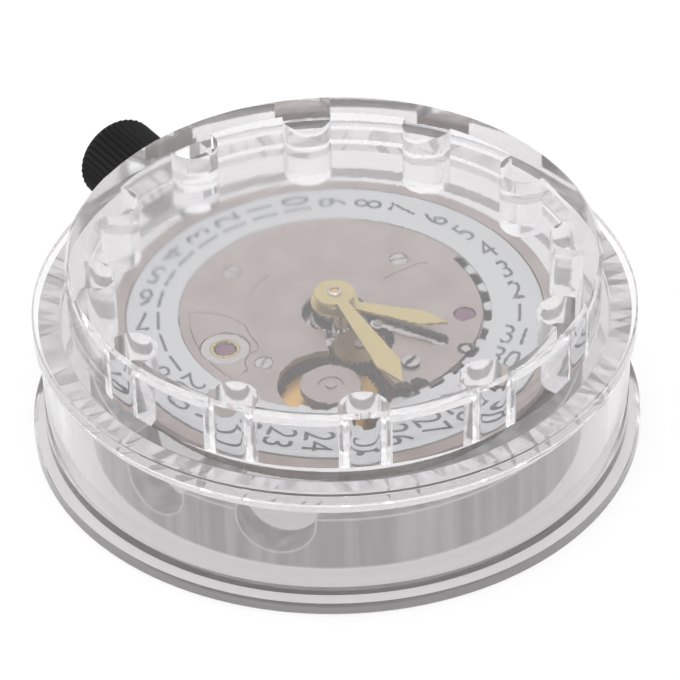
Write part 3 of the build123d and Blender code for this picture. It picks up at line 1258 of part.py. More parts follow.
EDGE_GAP = 0.2
FOOT_RING_W = 0.4
SPLIT_SHARES = ((-0.34615, -0.92308), (0.14615, 0.2))
SPLIT_GAP = 0.1
BALANCE_ROOM = 0.35
AUTO_FOOT_SHARES = ((-0.8154, -0.1538), (-0.2154, -0.8154), (0.7846, -0.3538))
BRIDGE_CUT_SHARE = 0.3231
BRIDGE_CUT_DROP = 0.4
COCK_BODY_R = 2.1
COCK_ARM_W = 2.6
COCK_SCREW_R = 0.48
PALLET_BRIDGE_DROP = 0.55
PALLET_BRIDGE_T = 0.37
PALLET_BRIDGE_W = 1.1
PALLET_BRIDGE_L = 3.0
PALLET_BRIDGE_ANGLE = 118
REGULATOR_T = 0.2
REGULATOR_SHARE = 1.37353878
REGULATOR_R = REGULATOR_SHARE * SHOCK_R
REGULATOR_L = 3.6
REGULATOR_W = 0.34
REGULATOR_ANGLE = 150
BRIDGE_R = HOLDER_BORE - EDGE_GAP
BRIDGE_DEEP = BRIDGE_Z - OVERRUN
AUTO_FEET = [placed(shares) for shares in AUTO_FOOT_SHARES]


def split_side(side):
    """Large block on one side of the line between the two bridges."""
    start, end = placed(SPLIT_SHARES[0]), placed(SPLIT_SHARES[1])
    middle = ((start[0] + end[0]) / 2, (start[1] + end[1]) / 2)
    size = 4 * BRIDGE_R
    half = (size + SPLIT_GAP) / 2
    return Pos(middle[0], middle[1], 0) * Rot(0, 0, heading(start, end)) * Pos(0, side * half, 0) * Box(
        size, size, 4 * PLATE_TOP)


def bridge_blank():
    """Round bridge layer with its raised foot along the edge, cleared round the balance."""
    body = disc(BRIDGE_R, BRIDGE_Z, BRIDGE_TOP)
    body += ring(BRIDGE_R, BRIDGE_R - FOOT_RING_W, BRIDGE_TOP, PLATE_BOTTOM)
    return body - disc(BALANCE_R + BALANCE_ROOM, BRIDGE_DEEP, PLATE_BOTTOM + OVERRUN, BALANCE_AT)


def bridge_holes(screws, feet):
    """Screw holes of a bridge and the holes under the automatic bridge's feet."""
    holes = []
    for at in screws:
        holes.append(screw_hole(SCREW_R, BRIDGE_DEEP, BRIDGE_Z + SCREW_HEAD_T, PLATE_BOTTOM + OVERRUN, at))
    for at in feet:
        holes.append(disc(SHANK_SHARE * SCREW_R + PIVOT_CLEAR, BRIDGE_DEEP, BRIDGE_TOP + OVERRUN, at))
    return holes


def train_bridge():
    """Bridge of the centre, third, fourth and escape wheels."""
    body = bridge_blank() & split_side(1)
    for at in (THIRD_AT, FOURTH_AT, ESCAPE_AT):
        body -= disc(PIVOT_R + PIVOT_CLEAR, BRIDGE_Z, BRIDGE_TOP + OVERRUN, at)
    body -= disc(ARBOR_R + PIVOT_CLEAR, BRIDGE_Z, BRIDGE_TOP + OVERRUN)
    for hole in bridge_holes(BRIDGE_SCREWS[:3], AUTO_FEET[:1]):
        body -= hole
    body -= block(-BRIDGE_R, BRIDGE_R, BALANCE_AT[1] - BRIDGE_CUT_DROP, BRIDGE_R + OVERRUN, 0,
                  PLATE_BOTTOM + OVERRUN)
    return largest(body)


def barrel_bridge():
    """Bridge of the barrel and the crown wheel."""
    body = bridge_blank() & split_side(-1)
    body -= block(0, BRIDGE_R + OVERRUN, PLATE_R * BRIDGE_CUT_SHARE, BRIDGE_R + OVERRUN, 0,
                  PLATE_BOTTOM + OVERRUN)
    body -= disc(ARBOR_NECK_R + CLEAR, 0, PLATE_BOTTOM, BARREL_AT)
    body -= disc(CROWN_HUB_OUTER_R + CLEAR, 0, PLATE_BOTTOM, CROWN_WHEEL_AT)
    body -= disc(CONTRATE_R + 2 * CLEAR, CONTRATE_Z - CLEAR, PLATE_BOTTOM + OVERRUN, CROWN_WHEEL_AT)
    for hole in bridge_holes(BRIDGE_SCREWS[3:], AUTO_FEET[1:]):
        body -= hole
    return largest(body)


def bridge_screws():
    """Screws that hold the bridges to the plate, heads down."""
    return [screw(SCREW_R, BRIDGE_Z + SCREW_HEAD_T, SCREW_HEAD_T, PLATE_BOTTOM + SCREW_GRIP, at, 20 * index,
                  up=False) for index, at in enumerate(BRIDGE_SCREWS)]


def pallet_bridge():
    """Small bridge under the pallet fork."""
    z0 = PLATE_BOTTOM - PALLET_BRIDGE_DROP
    z1 = z0 + PALLET_BRIDGE_T
    foot = polar(PALLET_BRIDGE_L, PALLET_BRIDGE_ANGLE, PALLET_AT)
    body = bar(PALLET_AT, foot, PALLET_BRIDGE_W, z0, z1) + disc(PALLET_BRIDGE_W / 2, z1, PLATE_BOTTOM, foot)
    return body - disc(PIVOT_R + PIVOT_CLEAR, TRAIN_HEAD - PALLET_ARBOR_L - CLEAR, z1 + OVERRUN, PALLET_AT)


def balance_cock():
    """Cock that carries the balance's lower bearing."""
    top = COCK_Z + COCK_T
    body = bar(BALANCE_AT, COCK_FOOT, COCK_ARM_W, COCK_Z, top) + disc(COCK_BODY_R, COCK_Z, top, BALANCE_AT)
    body += disc(COCK_FOOT_R, COCK_Z, PLATE_BOTTOM, COCK_FOOT)
    body -= disc(SHOCK_R + PIVOT_CLEAR, COCK_Z - OVERRUN, top + OVERRUN, BALANCE_AT)
    return body - screw_hole(COCK_SCREW_R, COCK_Z - OVERRUN, COCK_Z + SCREW_HEAD_T, PLATE_BOTTOM + OVERRUN,
                             COCK_FOOT)


def cock_screw():
    """Screw of the balance cock."""
    return screw(COCK_SCREW_R, COCK_Z + SCREW_HEAD_T, SCREW_HEAD_T, PLATE_BOTTOM + SCREW_GRIP, COCK_FOOT, 50,
                 up=False)


def regulator():
    """Regulator lever that turns round the shock setting."""
    z0, z1 = COCK_Z - PIVOT_CLEAR - REGULATOR_T, COCK_Z - PIVOT_CLEAR
    body = ring(REGULATOR_R, SHOCK_R + CLEAR, z0, z1, BALANCE_AT)
    root = polar((REGULATOR_R + SHOCK_R) / 2, REGULATOR_ANGLE, BALANCE_AT)
    return body + bar(root, polar(REGULATOR_L, REGULATOR_ANGLE, BALANCE_AT), REGULATOR_W, z0, z1)


# Automatic work and rotor

REVERSER_ANGLE = -150
AUTO_HUB_R = 2.7
AUTO_ARM_W = 2.6
AUTO_PAD_R = 1.0
AUTO_BOSS_R = 1.2
AUTO_LINK_W = 1.4
AUTO_HEAD_T = 0.12
AUTO_SCREW_T = 0.2
PIN_R = 0.24
STUB_R = 0.45
INNER_RACE_R = 0.88
OUTER_RACE_R = 1.6
OUTER_RACE_BORE = 1.24
BALL_R = 0.16
BALL_BEVEL = 0.08
BALL_COUNT = 7
ROTOR_SCREW_R = 0.22
ROTOR_HEAD_R = 0.8
ROTOR_HEAD_T = 0.2
ROTOR_SLOT_W = 0.2
ROTOR_SLOT_DEPTH = 0.08
ROTOR_GAP_R = 0.4
ROTOR_RIM_W = 2.7
ROTOR_WEB_T = 0.2
ROTOR_HUB_R = 2.05
ROTOR_CUT = 1.2
ROTOR_WINDOW_R = 1.5
ROTOR_WINDOW_SHARE = 0.5124
ROTOR_WINDOW_ANGLES = (-45, -90, -135)
REDUCTION_PINION_T = 0.2
CLICK_W = 0.5
CLICK_T = 0.2
CLICK_EYE_R = 0.55
CLICK_REACH_SHARE, CLICK_NOSE_SHARE = 0.98361, 0.81967
CLICK_ANGLE, CLICK_NOSE_ANGLE = -160, -143
CLICK_HEAD_T = 0.08
ROTOR_R = HOLDER_BORE - ROTOR_GAP_R
REVERSER_AT = polar(axis_distance(ROTOR_GEAR_TEETH, REVERSER_TEETH, AUTO_MODULE), REVERSER_ANGLE)
REDUCTION_REACH = axis_distance(RATCHET_TEETH, REDUCTION_PINION_TEETH + 2 * ADDENDUM_SHARE, RATCHET_MODULE)
REDUCTION_AT = circle_meeting(REVERSER_AT, axis_distance(REVERSER_TEETH, REDUCTION_TEETH, AUTO_MODULE),
                              BARREL_AT, REDUCTION_REACH + CLEAR, -1)
CLICK_PIVOT = polar(CLICK_REACH_SHARE * BARREL_DISTANCE, CLICK_ANGLE, BARREL_AT)
CLICK_NOSE = polar(CLICK_NOSE_SHARE * BARREL_DISTANCE, CLICK_NOSE_ANGLE, BARREL_AT)


def automatic_bridge():
    """Bridge of the automatic work, with the stub that the rotor turns on."""
    body = disc(AUTO_HUB_R, AUTO_Z, AUTO_TOP)
    for foot in AUTO_FEET:
        body += bar(CENTRE, foot, AUTO_ARM_W, AUTO_Z, AUTO_TOP) + disc(AUTO_PAD_R, AUTO_TOP, BRIDGE_Z, foot)
    for at in (REVERSER_AT, REDUCTION_AT):
        body += disc(AUTO_BOSS_R, AUTO_Z, AUTO_TOP, at)
    body += bar(REVERSER_AT, REDUCTION_AT, AUTO_LINK_W, AUTO_Z, AUTO_TOP)
    body -= disc(PIN_R + PIVOT_CLEAR, AUTO_Z - OVERRUN, AUTO_TOP + OVERRUN, REDUCTION_AT)
    for foot in AUTO_FEET:
        body -= screw_hole(SCREW_R, AUTO_Z - OVERRUN, AUTO_Z + AUTO_HEAD_T, BRIDGE_Z + OVERRUN, foot)
    body += disc(STUB_R, RACE_Z, AUTO_Z)
    body -= disc(ROTOR_SCREW_R + PIVOT_CLEAR, RACE_Z - OVERRUN, AUTO_GEAR_Z)
    return body + disc(PIN_R, AUTO_GEAR_Z - PIVOT_CLEAR, AUTO_Z, REVERSER_AT)


def automatic_screws():
    """Screws that hold the automatic bridge to the bridges above it."""
    return [screw(SCREW_R, AUTO_Z + AUTO_HEAD_T, AUTO_SCREW_T, BRIDGE_Z + SCREW_GRIP, foot, 70 * index,
                  up=False) for index, foot in enumerate(AUTO_FEET)]


def bearing_inner():
    """Inner race of the rotor bearing and its bevelled balls."""
    race = ring(INNER_RACE_R, STUB_R + PIVOT_CLEAR, RACE_Z, RACE_Z + RACE_T)
    circle_r, middle = (INNER_RACE_R + OUTER_RACE_BORE) / 2, RACE_Z + RACE_T / 2
    parts = [race]
    for index in range(BALL_COUNT):
        ball = disc(BALL_R, middle - BALL_R, middle + BALL_R)
        ball = chamfer(ball.edges().filter_by(GeomType.CIRCLE), BALL_BEVEL)
        place = polar(circle_r, index * 360 / BALL_COUNT)
        parts.append(Pos(place[0], place[1], 0) * ball)
    return parts


def bearing_outer():
    """Outer race pressed into the rotor."""
    return ring(OUTER_RACE_R, OUTER_RACE_BORE, RACE_Z, RACE_Z + RACE_T)


def rotor():
    """Oscillating weight: hub with teeth, thin web and heavy half-ring."""
    reach = ROTOR_R + OVERRUN
    rim = ring(ROTOR_R, ROTOR_R - ROTOR_RIM_W, ROTOR_Z, ROTOR_TOP)
    web = disc(ROTOR_R - ROTOR_RIM_W + CLEAR, RACE_Z, RACE_Z + ROTOR_WEB_T)
    body = (rim + web) & block(-reach, reach, -reach, ROTOR_CUT, 0, PLATE_TOP)
    body += disc(ROTOR_HUB_R, RACE_Z, AUTO_GEAR_Z)
    body += toothed(ROTOR_GEAR_TEETH, AUTO_MODULE, AUTO_GEAR_Z, AUTO_GEAR_Z + AUTO_GEAR_T)
    for angle in ROTOR_WINDOW_ANGLES:
        at = polar(ROTOR_WINDOW_SHARE * ROTOR_R, angle)
        body -= disc(ROTOR_WINDOW_R, ROTOR_Z, ROTOR_TOP, at)
    return body - disc(OUTER_RACE_R, RACE_Z - OVERRUN, AUTO_Z)


def rotor_screw():
    """Screw and washer that keep the inner race on its stub."""
    head_z = RACE_Z - PIVOT_CLEAR - ROTOR_HEAD_T
    head = disc(ROTOR_HEAD_R, head_z, head_z + ROTOR_HEAD_T)
    head += disc(ROTOR_SCREW_R, head_z, AUTO_GEAR_Z - CLEAR)
    return head - Pos(0, 0, head_z) * Rot(0, 0, 15) * Box(3 * ROTOR_HEAD_R, ROTOR_SLOT_W, ROTOR_SLOT_DEPTH,
                                                          align=MIN_ALIGN)


def reverser_phase():
    """Phase of the reverser wheel against the rotor's teeth."""
    return mesh_phase(ROTOR_GEAR_TEETH, 0.0, CENTRE, REVERSER_TEETH, REVERSER_AT)


def reverser_wheel():
    """Reverser wheel driven by the rotor."""
    top = AUTO_GEAR_Z + AUTO_GEAR_T
    body = toothed(REVERSER_TEETH, AUTO_MODULE, AUTO_GEAR_Z, top, REVERSER_AT, reverser_phase())
    return body - disc(PIN_R + PIVOT_CLEAR, 0, AUTO_Z, REVERSER_AT)


def reduction_wheel():
    """Reduction wheel whose pinion stands beside the ratchet wheel."""
    phase = mesh_phase(REVERSER_TEETH, reverser_phase(), REVERSER_AT, REDUCTION_TEETH, REDUCTION_AT)
    body = toothed(REDUCTION_TEETH, AUTO_MODULE, AUTO_GEAR_Z, AUTO_GEAR_Z + AUTO_GEAR_T, REDUCTION_AT, phase)
    body += disc(PIN_R, AUTO_GEAR_Z, BRIDGE_Z - PIVOT_CLEAR, REDUCTION_AT)
    return body + toothed(REDUCTION_PINION_TEETH, RATCHET_MODULE, RATCHET_Z, RATCHET_Z + REDUCTION_PINION_T,
                          REDUCTION_AT)


def click():
    """Click whose nose stands over the ratchet teeth."""
    top = RATCHET_Z + CLICK_T
    body = bar(CLICK_PIVOT, CLICK_NOSE, CLICK_W, RATCHET_Z, top) + disc(CLICK_EYE_R, RATCHET_Z, top, CLICK_PIVOT)
    return body - disc(LEVER_POST_R + PIVOT_CLEAR, 0, BRIDGE_Z, CLICK_PIVOT)


def click_screw():
    """Shouldered screw that the click turns on."""
    head_top = RATCHET_Z - PIVOT_CLEAR
    return disc(LEVER_POST_R, RATCHET_Z - CLICK_HEAD_T, BRIDGE_Z, CLICK_PIVOT) + disc(
        SCREW_R, head_top - CLICK_HEAD_T, head_top, CLICK_PIVOT)


def build():
    """Make every sub-part and write it under its name."""
    os.makedirs("parts", exist_ok=True)
    upper = shock_setting(PLATE_TOP - SHOCK_T - SHOCK_SINK, True)
    lower = shock_setting(COCK_Z - REGULATOR_T - SHOCK_SINK, False)
    pieces = {
        "case_tray": case_tray(), "case_lid": case_lid(), "movement_holder": movement_holder(),
        "crown": crown(), "winding_stem": winding_stem(), "winding_pinion": winding_pinion(),
        "clutch_wheel": clutch_wheel(), "setting_lever": setting_lever(), "yoke": yoke(),
        "lever_posts": lever_posts() + [jumper_post()], "main_plate": main_plate(),
        "calendar_plate": calendar_plate(), "calendar_screws": cover_screws(),
        "date_ring": date_ring(), "date_jumper": date_jumper(), "raised_screw": raised_screw(),
        "dial_jewel": dial_jewel(), "hour_wheel": hour_wheel(), "cannon_pinion": cannon_pinion(),
        "minute_wheel": minute_wheel(), "date_idler": date_idler(), "date_wheel": date_wheel(),
        "date_finger_disc": date_finger_disc(), "hour_hand": hour_hand(), "minute_hand": minute_hand(),
        "barrel_drum": barrel_drum(), "barrel_cover": barrel_cover(), "barrel_arbor": barrel_arbor(),
        "mainspring": mainspring(), "ratchet_wheel": ratchet_wheel(), "crown_wheel": crown_wheel(),
        "contrate_wheel": contrate_wheel(), "click": click(), "centre_wheel": centre_wheel(),
        "third_wheel": third_wheel(), "fourth_wheel": fourth_wheel(), "escape_wheel": escape_wheel(),
        "pallet_fork": pallet_fork(), "pallet_stones": pallet_stones(), "pallet_bridge": pallet_bridge(),
        "balance_wheel": balance_wheel(), "balance_staff": balance_staff(), "roller": roller(),
        "hairspring": hairspring(), "hairspring_stud": hairspring_stud(), "balance_cock": balance_cock(),
        "regulator": regulator(), "shock_settings": [upper[0], lower[0]],
        "shock_jewels": [upper[1], lower[1]], "shock_springs": [upper[2], lower[2]],
        "train_bridge": train_bridge(), "barrel_bridge": barrel_bridge(),
        "bridge_screws": bridge_screws() + [cock_screw(), click_screw()] + automatic_screws(),
        "automatic_bridge": automatic_bridge(), "reverser_wheel": reverser_wheel(),
        "reduction_wheel": reduction_wheel(), "rotor_bearing": bearing_inner(),
        "rotor_race": bearing_outer(), "rotor_screw": rotor_screw(), "rotor": rotor(),
    }
    for name, shape in pieces.items():
        save(shape, name)


build()
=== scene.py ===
"""Looks of an automatic watch movement lying dial side up in its clear plastic case."""
import math

import bmesh
import bpy
from mathutils import Matrix, Quaternion, Vector


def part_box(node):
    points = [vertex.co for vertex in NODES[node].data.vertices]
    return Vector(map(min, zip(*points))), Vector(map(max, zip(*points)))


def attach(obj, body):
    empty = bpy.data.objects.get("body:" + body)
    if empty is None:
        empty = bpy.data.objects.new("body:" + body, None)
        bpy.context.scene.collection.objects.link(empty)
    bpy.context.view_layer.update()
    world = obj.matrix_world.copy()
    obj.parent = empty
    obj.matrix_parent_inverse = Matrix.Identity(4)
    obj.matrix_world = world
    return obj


bl_info = {
    "name": "Watch movement in a clear case",
    "version": (1, 0, 0),
    "blender": (4, 5, 0),
    "location": "3D View > Sidebar > Movement",
    "description": "Finishes, date numerals and stage of a cased automatic movement",
    "category": "Object",
}

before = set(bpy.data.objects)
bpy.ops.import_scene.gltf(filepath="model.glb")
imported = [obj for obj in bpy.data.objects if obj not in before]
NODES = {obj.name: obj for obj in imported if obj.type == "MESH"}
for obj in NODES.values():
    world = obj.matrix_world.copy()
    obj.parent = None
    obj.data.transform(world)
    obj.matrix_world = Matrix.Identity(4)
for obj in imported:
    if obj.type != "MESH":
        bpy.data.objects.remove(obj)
MM = 0.001
WHITE = (1.0, 1.0, 1.0, 1.0)
FLOAT, COLOUR = "NodeSocketFloat", "NodeSocketColor"

# Date ring: dates on it, the one at the crown, and the letterform of its numerals
RING_DATES = 31
DATE_AT_CROWN = 12
DATE_RING_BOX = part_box("date_ring")
DIGIT_H_SHARE = 0.69
DIGIT_SPACING = 0.98
DIGIT_STEPS = 6

# Blasted grain: a fine noise for its relief and roughness, a broad one for its tone
GRAIN_DETAIL = 4.0
GRAIN_H = 0.02 * MM
GRAIN_SPREAD = 0.08
BROAD_SCALE = 420.0
BROAD_DETAIL = 3.0
NOISE_MIDDLE = 0.5

# Grains per metre of the finishes
BRASS_GRAIN = 9000.0
STEEL_GRAIN = 12000.0
BLACK_GRAIN = 14000.0
SATIN_GRAIN = 15000.0
NICKEL_GRAIN = 16000.0

# Roughness of the smooth finishes, and gloss of the two dull ones
POLISH_ROUGH = 0.12
SCREW_ROUGH = 0.2
RUBY_ROUGH = 0.05
INK_ROUGH = 0.5
FLOOR_ROUGH = 0.9
BLACK_GLOSS = 0.15
FLOOR_GLOSS = 0.1

# Wear of moulded plastic: dull clouds, and scratches stretched along one direction
CLOUD_SCALE = 160.0
CLOUD_DETAIL = 5.0
CLOUD_RANGE = (0.5, 0.72)
SCRATCH_TURN = (0.3, 0.2, 0.9)
SCRATCH_SCALE = (3500.0, 160.0, 900.0)
SCRATCH_DETAIL = 2.0
SCRATCH_STRENGTH = 0.06
SCRATCH_H = 0.05 * MM
WEAR_SPREAD = 0.04
SHADOW_TINT = (0.93, 0.93, 0.93, 1.0)

# Upright streaks of the holder
STREAK_SCALE = (900.0, 900.0, 40.0)
STREAK_DETAIL = 4.0
STREAK_RANGE = (0.42, 0.68)

# Reach of the painted highlights and shades along edges, and the agreement of bevelled and flat normals
# over which they fade
HOLDER_EDGE = 0.22 * MM
SETTING_EDGE = 0.07 * MM
SCREW_EDGE = 0.05 * MM
DISC_EDGE = 0.04 * MM
EDGE_RANGE = (0.9, 0.985)

# Painted shade by depth: where each begins and the depth over which it grows to full
FOOT_LEVEL, FOOT_DEPTH = 1.3 * MM, 0.9 * MM
HOLLOW_DROP, HOLLOW_DEPTH = 0.3 * MM, 0.25 * MM
SLOT_DROP, SLOT_DEPTH = 0.03 * MM, 0.06 * MM

# Dulled patch on the lid's roof
VEIL_AT = (6.5 * MM, 4.0 * MM)
VEIL_REACH = 12.0 * MM
VEIL_FULL_SHARE = 0.5

# Stage: camera, floor, and each lamp with its place in metres, its size and its share of the strength
TARGET = Vector((-0.147, -0.213, 5.625)) * MM
SENSOR_MM = 36.0
CLIP_START = 10 * MM
FLOOR_SIZE = 3000 * MM
FLOOR_DROP = 0.02 * MM
FLOOR_GLOW = 0.75
LAMPS = (("lamp_over", (0.05, 0.12, 0.55), 0.95, 1.0),
         ("lamp_side", (-0.45, 0.1, 0.3), 0.5, 0.3))


# Sizes and colours that a user would change

def colour(name, description, red, green, blue):
    return bpy.props.FloatVectorProperty(
        name=name, description=description, subtype="COLOR", size=4, min=0.0, max=1.0,
        default=(red, green, blue, 1.0))


def length(name, description, default):
    return bpy.props.FloatProperty(
        name=name, description=description, unit="LENGTH", default=default)


def share(name, description, default):
    return bpy.props.FloatProperty(
        name=name, description=description, subtype="FACTOR", min=0.0, max=1.0, default=default)


def number(name, description, default):
    return bpy.props.FloatProperty(name=name, description=description, default=default)


class MovementCaseLook(bpy.types.PropertyGroup):
    """Clear plastic of the tray, holder and lid."""
    lid_tint: colour(
        "Lid tint", "Colour left in light after one pass through the lid", 0.96, 0.955, 0.96)
    tray_tint: colour(
        "Tray tint", "Colour left in light after one pass through the tray", 0.91, 0.895, 0.902)
    # Painted shade: the tray darkens towards the bottom of its foot
    foot_tint: colour("Foot tint", "Tone of the tray's thick foot", 0.66, 0.645, 0.65)
    holder_tint: colour("Holder tint", "Tone of the frosted holder", 0.25, 0.24, 0.244)
    streak_tint: colour("Streak tint", "Tone of the holder's upright streaks", 0.48, 0.465, 0.47)
    # Painted highlight along the holder's edges
    edge_tint: colour(
        "Edge tint", "Tone of the holder's edges, which catch the light", 0.97, 0.96, 0.965)
    haze: share("Haze", "Roughness of the moulded surfaces", 0.03)
    veil: share("Veil", "Added roughness of the dulled patch on the roof", 0.055)
    holder_haze: share("Holder haze", "Roughness of the frosted holder ring", 0.34)
    ior: number("IOR", "Index of refraction of the plastic", 1.49)
    lid_clear: share("Lid clearness", "Share of the lid's light that isn't scattered", 0.955)
    tray_clear: share("Tray clearness", "Share of the tray's light that isn't scattered", 0.9)
    holder_clear: share("Holder clearness", "Share of the holder's light that isn't scattered", 0.3)
    # Painted glow: paths inside the lid, tray and holder that bounce deeper than the depth below end in
    # these emitted colours
    lid_core: colour("Lid core", "Light that long paths inside the lid end in", 0.78, 0.77, 0.775)
    tray_core: colour("Tray core", "Light that long paths inside the tray end in", 0.20, 0.19, 0.195)
    depth: bpy.props.IntProperty(name="Depth", description="Bounces after which a path ends", default=5)


class MovementMetalLook(bpy.types.PropertyGroup):
    """Metals and stones of the movement."""
    plate: colour("Plate", "Nickel plate of the plates, bridges and rotor", 0.40, 0.345, 0.328)
    brass: colour("Brass", "Cut brass of the wheels", 0.74, 0.46, 0.15)
    aged: colour("Aged brass", "Dull brass of the idler", 0.30, 0.20, 0.10)
    # Painted shade: this dark tone is laid into the screws' slots and along the edges of the shock
    # settings, the screws and the date finger disc
    slot: colour("Slot", "Tone of the screws' slots and flanks", 0.05, 0.04, 0.035)
    steel: colour("Steel", "Ground steel", 0.36, 0.35, 0.35)
    polished: colour("Polished steel", "Polished steel of screws, pinions and jumper", 0.56, 0.53, 0.52)
    gilt: colour("Gilt", "Gilt of the hands, the balance and the shock springs", 0.57, 0.47, 0.235)
    black: colour("Black", "Black finish of the crown", 0.003, 0.003, 0.0035)
    ruby: colour("Ruby", "Synthetic ruby of the jewels", 0.105, 0.008, 0.05)
    # Dark brown of the plate's cut hollows: partly the metal's own tone there, partly painted shade
    hollow: colour("Hollow", "Tone of the plate's cut hollows", 0.09, 0.05, 0.028)


class MovementRingLook(bpy.types.PropertyGroup):
    """Date ring and its printed numerals."""
    lacquer: colour("Lacquer", "Satin silver lacquer of the ring", 0.53, 0.54, 0.555)
    ink: colour("Ink", "Ink of the numerals", 0.085, 0.087, 0.095)
    height: length("Numeral height", "Height of a numeral", 1.68 * MM)
    width: share(
        "Numeral width", "Width of a digit as a share of the plain letterform's", 0.76)
    middle_r: length("Numeral radius", "Radius at the middle of the numerals", 10.72 * MM)
    print_t: length("Print thickness", "Thickness of the printed ink", 0.006 * MM)


class MovementStageLook(bpy.types.PropertyGroup):
    """Floor, light and camera."""
    floor: colour("Floor", "Colour of the table", 0.92, 0.92, 0.92)
    azimuth: number("Azimuth", "Camera's turn about the case in degrees", -124.5)
    elevation: number("Elevation", "Camera's height angle in degrees", 37.92)
    roll: number("Roll", "Camera's roll in degrees", 1.227)
    distance: length("Distance", "Camera's distance from its target", 233.65 * MM)
    lens_mm: number("Lens", "Focal length in millimetres", 211.76)
    lamp: number("Lamp", "Strength of the overhead lamp", 2.5)
    sky: number("Sky", "Strength of the even light", 0.8)


# Shader helpers

def feed(tree, socket, value):
    """Link a socket to another one, or set it to a plain value."""
    if isinstance(value, bpy.types.NodeSocket):
        tree.links.new(value, socket)
    else:
        socket.default_value = value


def add_node(tree, kind, inputs=None, **settings):
    """Node of a kind, with its settings and with inputs given by name or number."""
    node = tree.nodes.new(kind)
    for name, value in settings.items():
        setattr(node, name, value)
    for key, value in (inputs or {}).items():
        feed(tree, node.inputs[key], value)
    return node


def object_place(tree):
    """Place of the shaded point in the object's own axes."""
    return add_node(tree, "ShaderNodeTexCoord").outputs["Object"]


def calculate(tree, operation, *values, clamp=False):
    """Result of a Math node over sockets and numbers."""
    inputs = dict(enumerate(values))
    node = add_node(tree, "ShaderNodeMath", inputs, operation=operation, use_clamp=clamp)
    return node.outputs["Value"]


def noise(tree, vector, scale, detail):
    """Value of a noise texture."""
    inputs = {"Vector": vector, "Scale": scale, "Detail": detail}
    return add_node(tree, "ShaderNodeTexNoise", inputs).outputs["Fac"]


def stretched_noise(tree, scale, detail, turn=(0.0, 0.0, 0.0)):
    """Value of a noise texture that is turned and scaled along the object's axes."""
    inputs = {"Vector": object_place(tree), "Rotation": turn, "Scale": scale}
    stretch = add_node(tree, "ShaderNodeMapping", inputs)
    return noise(tree, stretch.outputs["Vector"], scale=1.0, detail=detail)


def map_range(tree, value, start, end, low=0.0, high=1.0, **settings):
    """Value mapped from the range start to end onto the range low to high."""
    inputs = {"Value": value, "From Min": start, "From Max": end, "To Min": low, "To Max": high}
    return add_node(tree, "ShaderNodeMapRange", inputs, **settings).outputs["Result"]


def mix_shaders(tree, share_of_second, first, second):
    """Shader between two others."""
    inputs = {"Fac": share_of_second, 1: first, 2: second}
    return add_node(tree, "ShaderNodeMixShader", inputs).outputs["Shader"]


def lay_relief(tree, shader, height, strength, distance):
    """Bump a shader's surface by a height."""
    inputs = {"Strength": strength, "Distance": distance, "Height": height}
    relief = add_node(tree, "ShaderNodeBump", inputs)
    tree.links.new(relief.outputs["Normal"], shader.inputs["Normal"])


def node_of(material, kind):
    """First node of a kind in a material."""
    return next(node for node in material.node_tree.nodes if node.type == kind)


def shader_of(material):
    """Principled shader of a material."""
    return node_of(material, "BSDF_PRINCIPLED")


def new_material(name, inputs=None):
    """Material with an output and a Principled shader that has the given inputs."""
    material = bpy.data.materials.new(name)
    material.use_nodes = True
    tree = material.node_tree
    tree.nodes.clear()
    output = tree.nodes.new("ShaderNodeOutputMaterial")
    shader = add_node(tree, "ShaderNodeBsdfPrincipled", inputs)
    tree.links.new(shader.outputs["BSDF"], output.inputs["Surface"])
    return material, tree, shader


def new_surface(material, surface):
    """Give a material another surface than its Principled shader alone."""
    material.node_tree.links.new(surface, node_of(material, "OUTPUT_MATERIAL").inputs["Surface"])


# Shared effects

def shared_group(name, inputs, outputs, build):
    """Node group of a name, built on its first use."""
    group = bpy.data.node_groups.get(name)
    if group:
        return group
    group = bpy.data.node_groups.new(name, "ShaderNodeTree")
    for label, (kind, default) in inputs.items():
        socket = group.interface.new_socket(name=label, in_out="INPUT", socket_type=kind)
        socket.default_value = default
    for label, kind in outputs.items():
        group.interface.new_socket(name=label, in_out="OUTPUT", socket_type=kind)
    given = group.nodes.new("NodeGroupInput").outputs
    result = group.nodes.new("NodeGroupOutput").inputs
    for label, socket in build(group, given).items():
        group.links.new(socket, result[label])
    return group


def build_grain(group, given):
    """Nodes of the blasted grain."""
    place = object_place(group)
    fine = noise(group, place, given["Grain per metre"], GRAIN_DETAIL)
    broad = noise(group, place, BROAD_SCALE, BROAD_DETAIL)
    centred = calculate(group, "SUBTRACT", broad, NOISE_MIDDLE)
    tone = calculate(group, "MULTIPLY_ADD", centred, given["Depth"], 1.0)
    inputs = {"Vector": given["Colour"], "Scale": tone}
    tinted = add_node(group, "ShaderNodeVectorMath", inputs, operation="SCALE").outputs["Vector"]
    rough = calculate(group, "MULTIPLY_ADD", fine, given["Spread"], given["Roughness"])
    return {"Colour": tinted, "Roughness": rough, "Height": fine}


def blasted_grain():
    """Fine blasted grain: a colour that varies a little, a roughness and a height."""
    return shared_group(
        "Blasted grain",
        {"Colour": (COLOUR, WHITE), "Grain per metre": (FLOAT, BRASS_GRAIN), "Depth": (FLOAT, 0.12),
         "Roughness": (FLOAT, 0.35), "Spread": (FLOAT, GRAIN_SPREAD)},
        {"Colour": COLOUR, "Roughness": FLOAT, "Height": FLOAT}, build_grain)


def build_wear(group, given):
    """Nodes of the moulded wear."""
    clouds = noise(group, object_place(group), CLOUD_SCALE, CLOUD_DETAIL)
    patches = map_range(group, clouds, *CLOUD_RANGE)
    scratches = stretched_noise(group, SCRATCH_SCALE, SCRATCH_DETAIL, SCRATCH_TURN)
    rough = calculate(group, "MULTIPLY_ADD", patches, given["Spread"], given["Roughness"])
    return {"Roughness": rough, "Height": scratches}


def moulded_wear():
    """Handling wear of clear plastic: a roughness that varies and fine scratches as a height."""
    return shared_group(
        "Moulded wear", {"Roughness": (FLOAT, 0.03), "Spread": (FLOAT, WEAR_SPREAD)},
        {"Roughness": FLOAT, "Height": FLOAT}, build_wear)


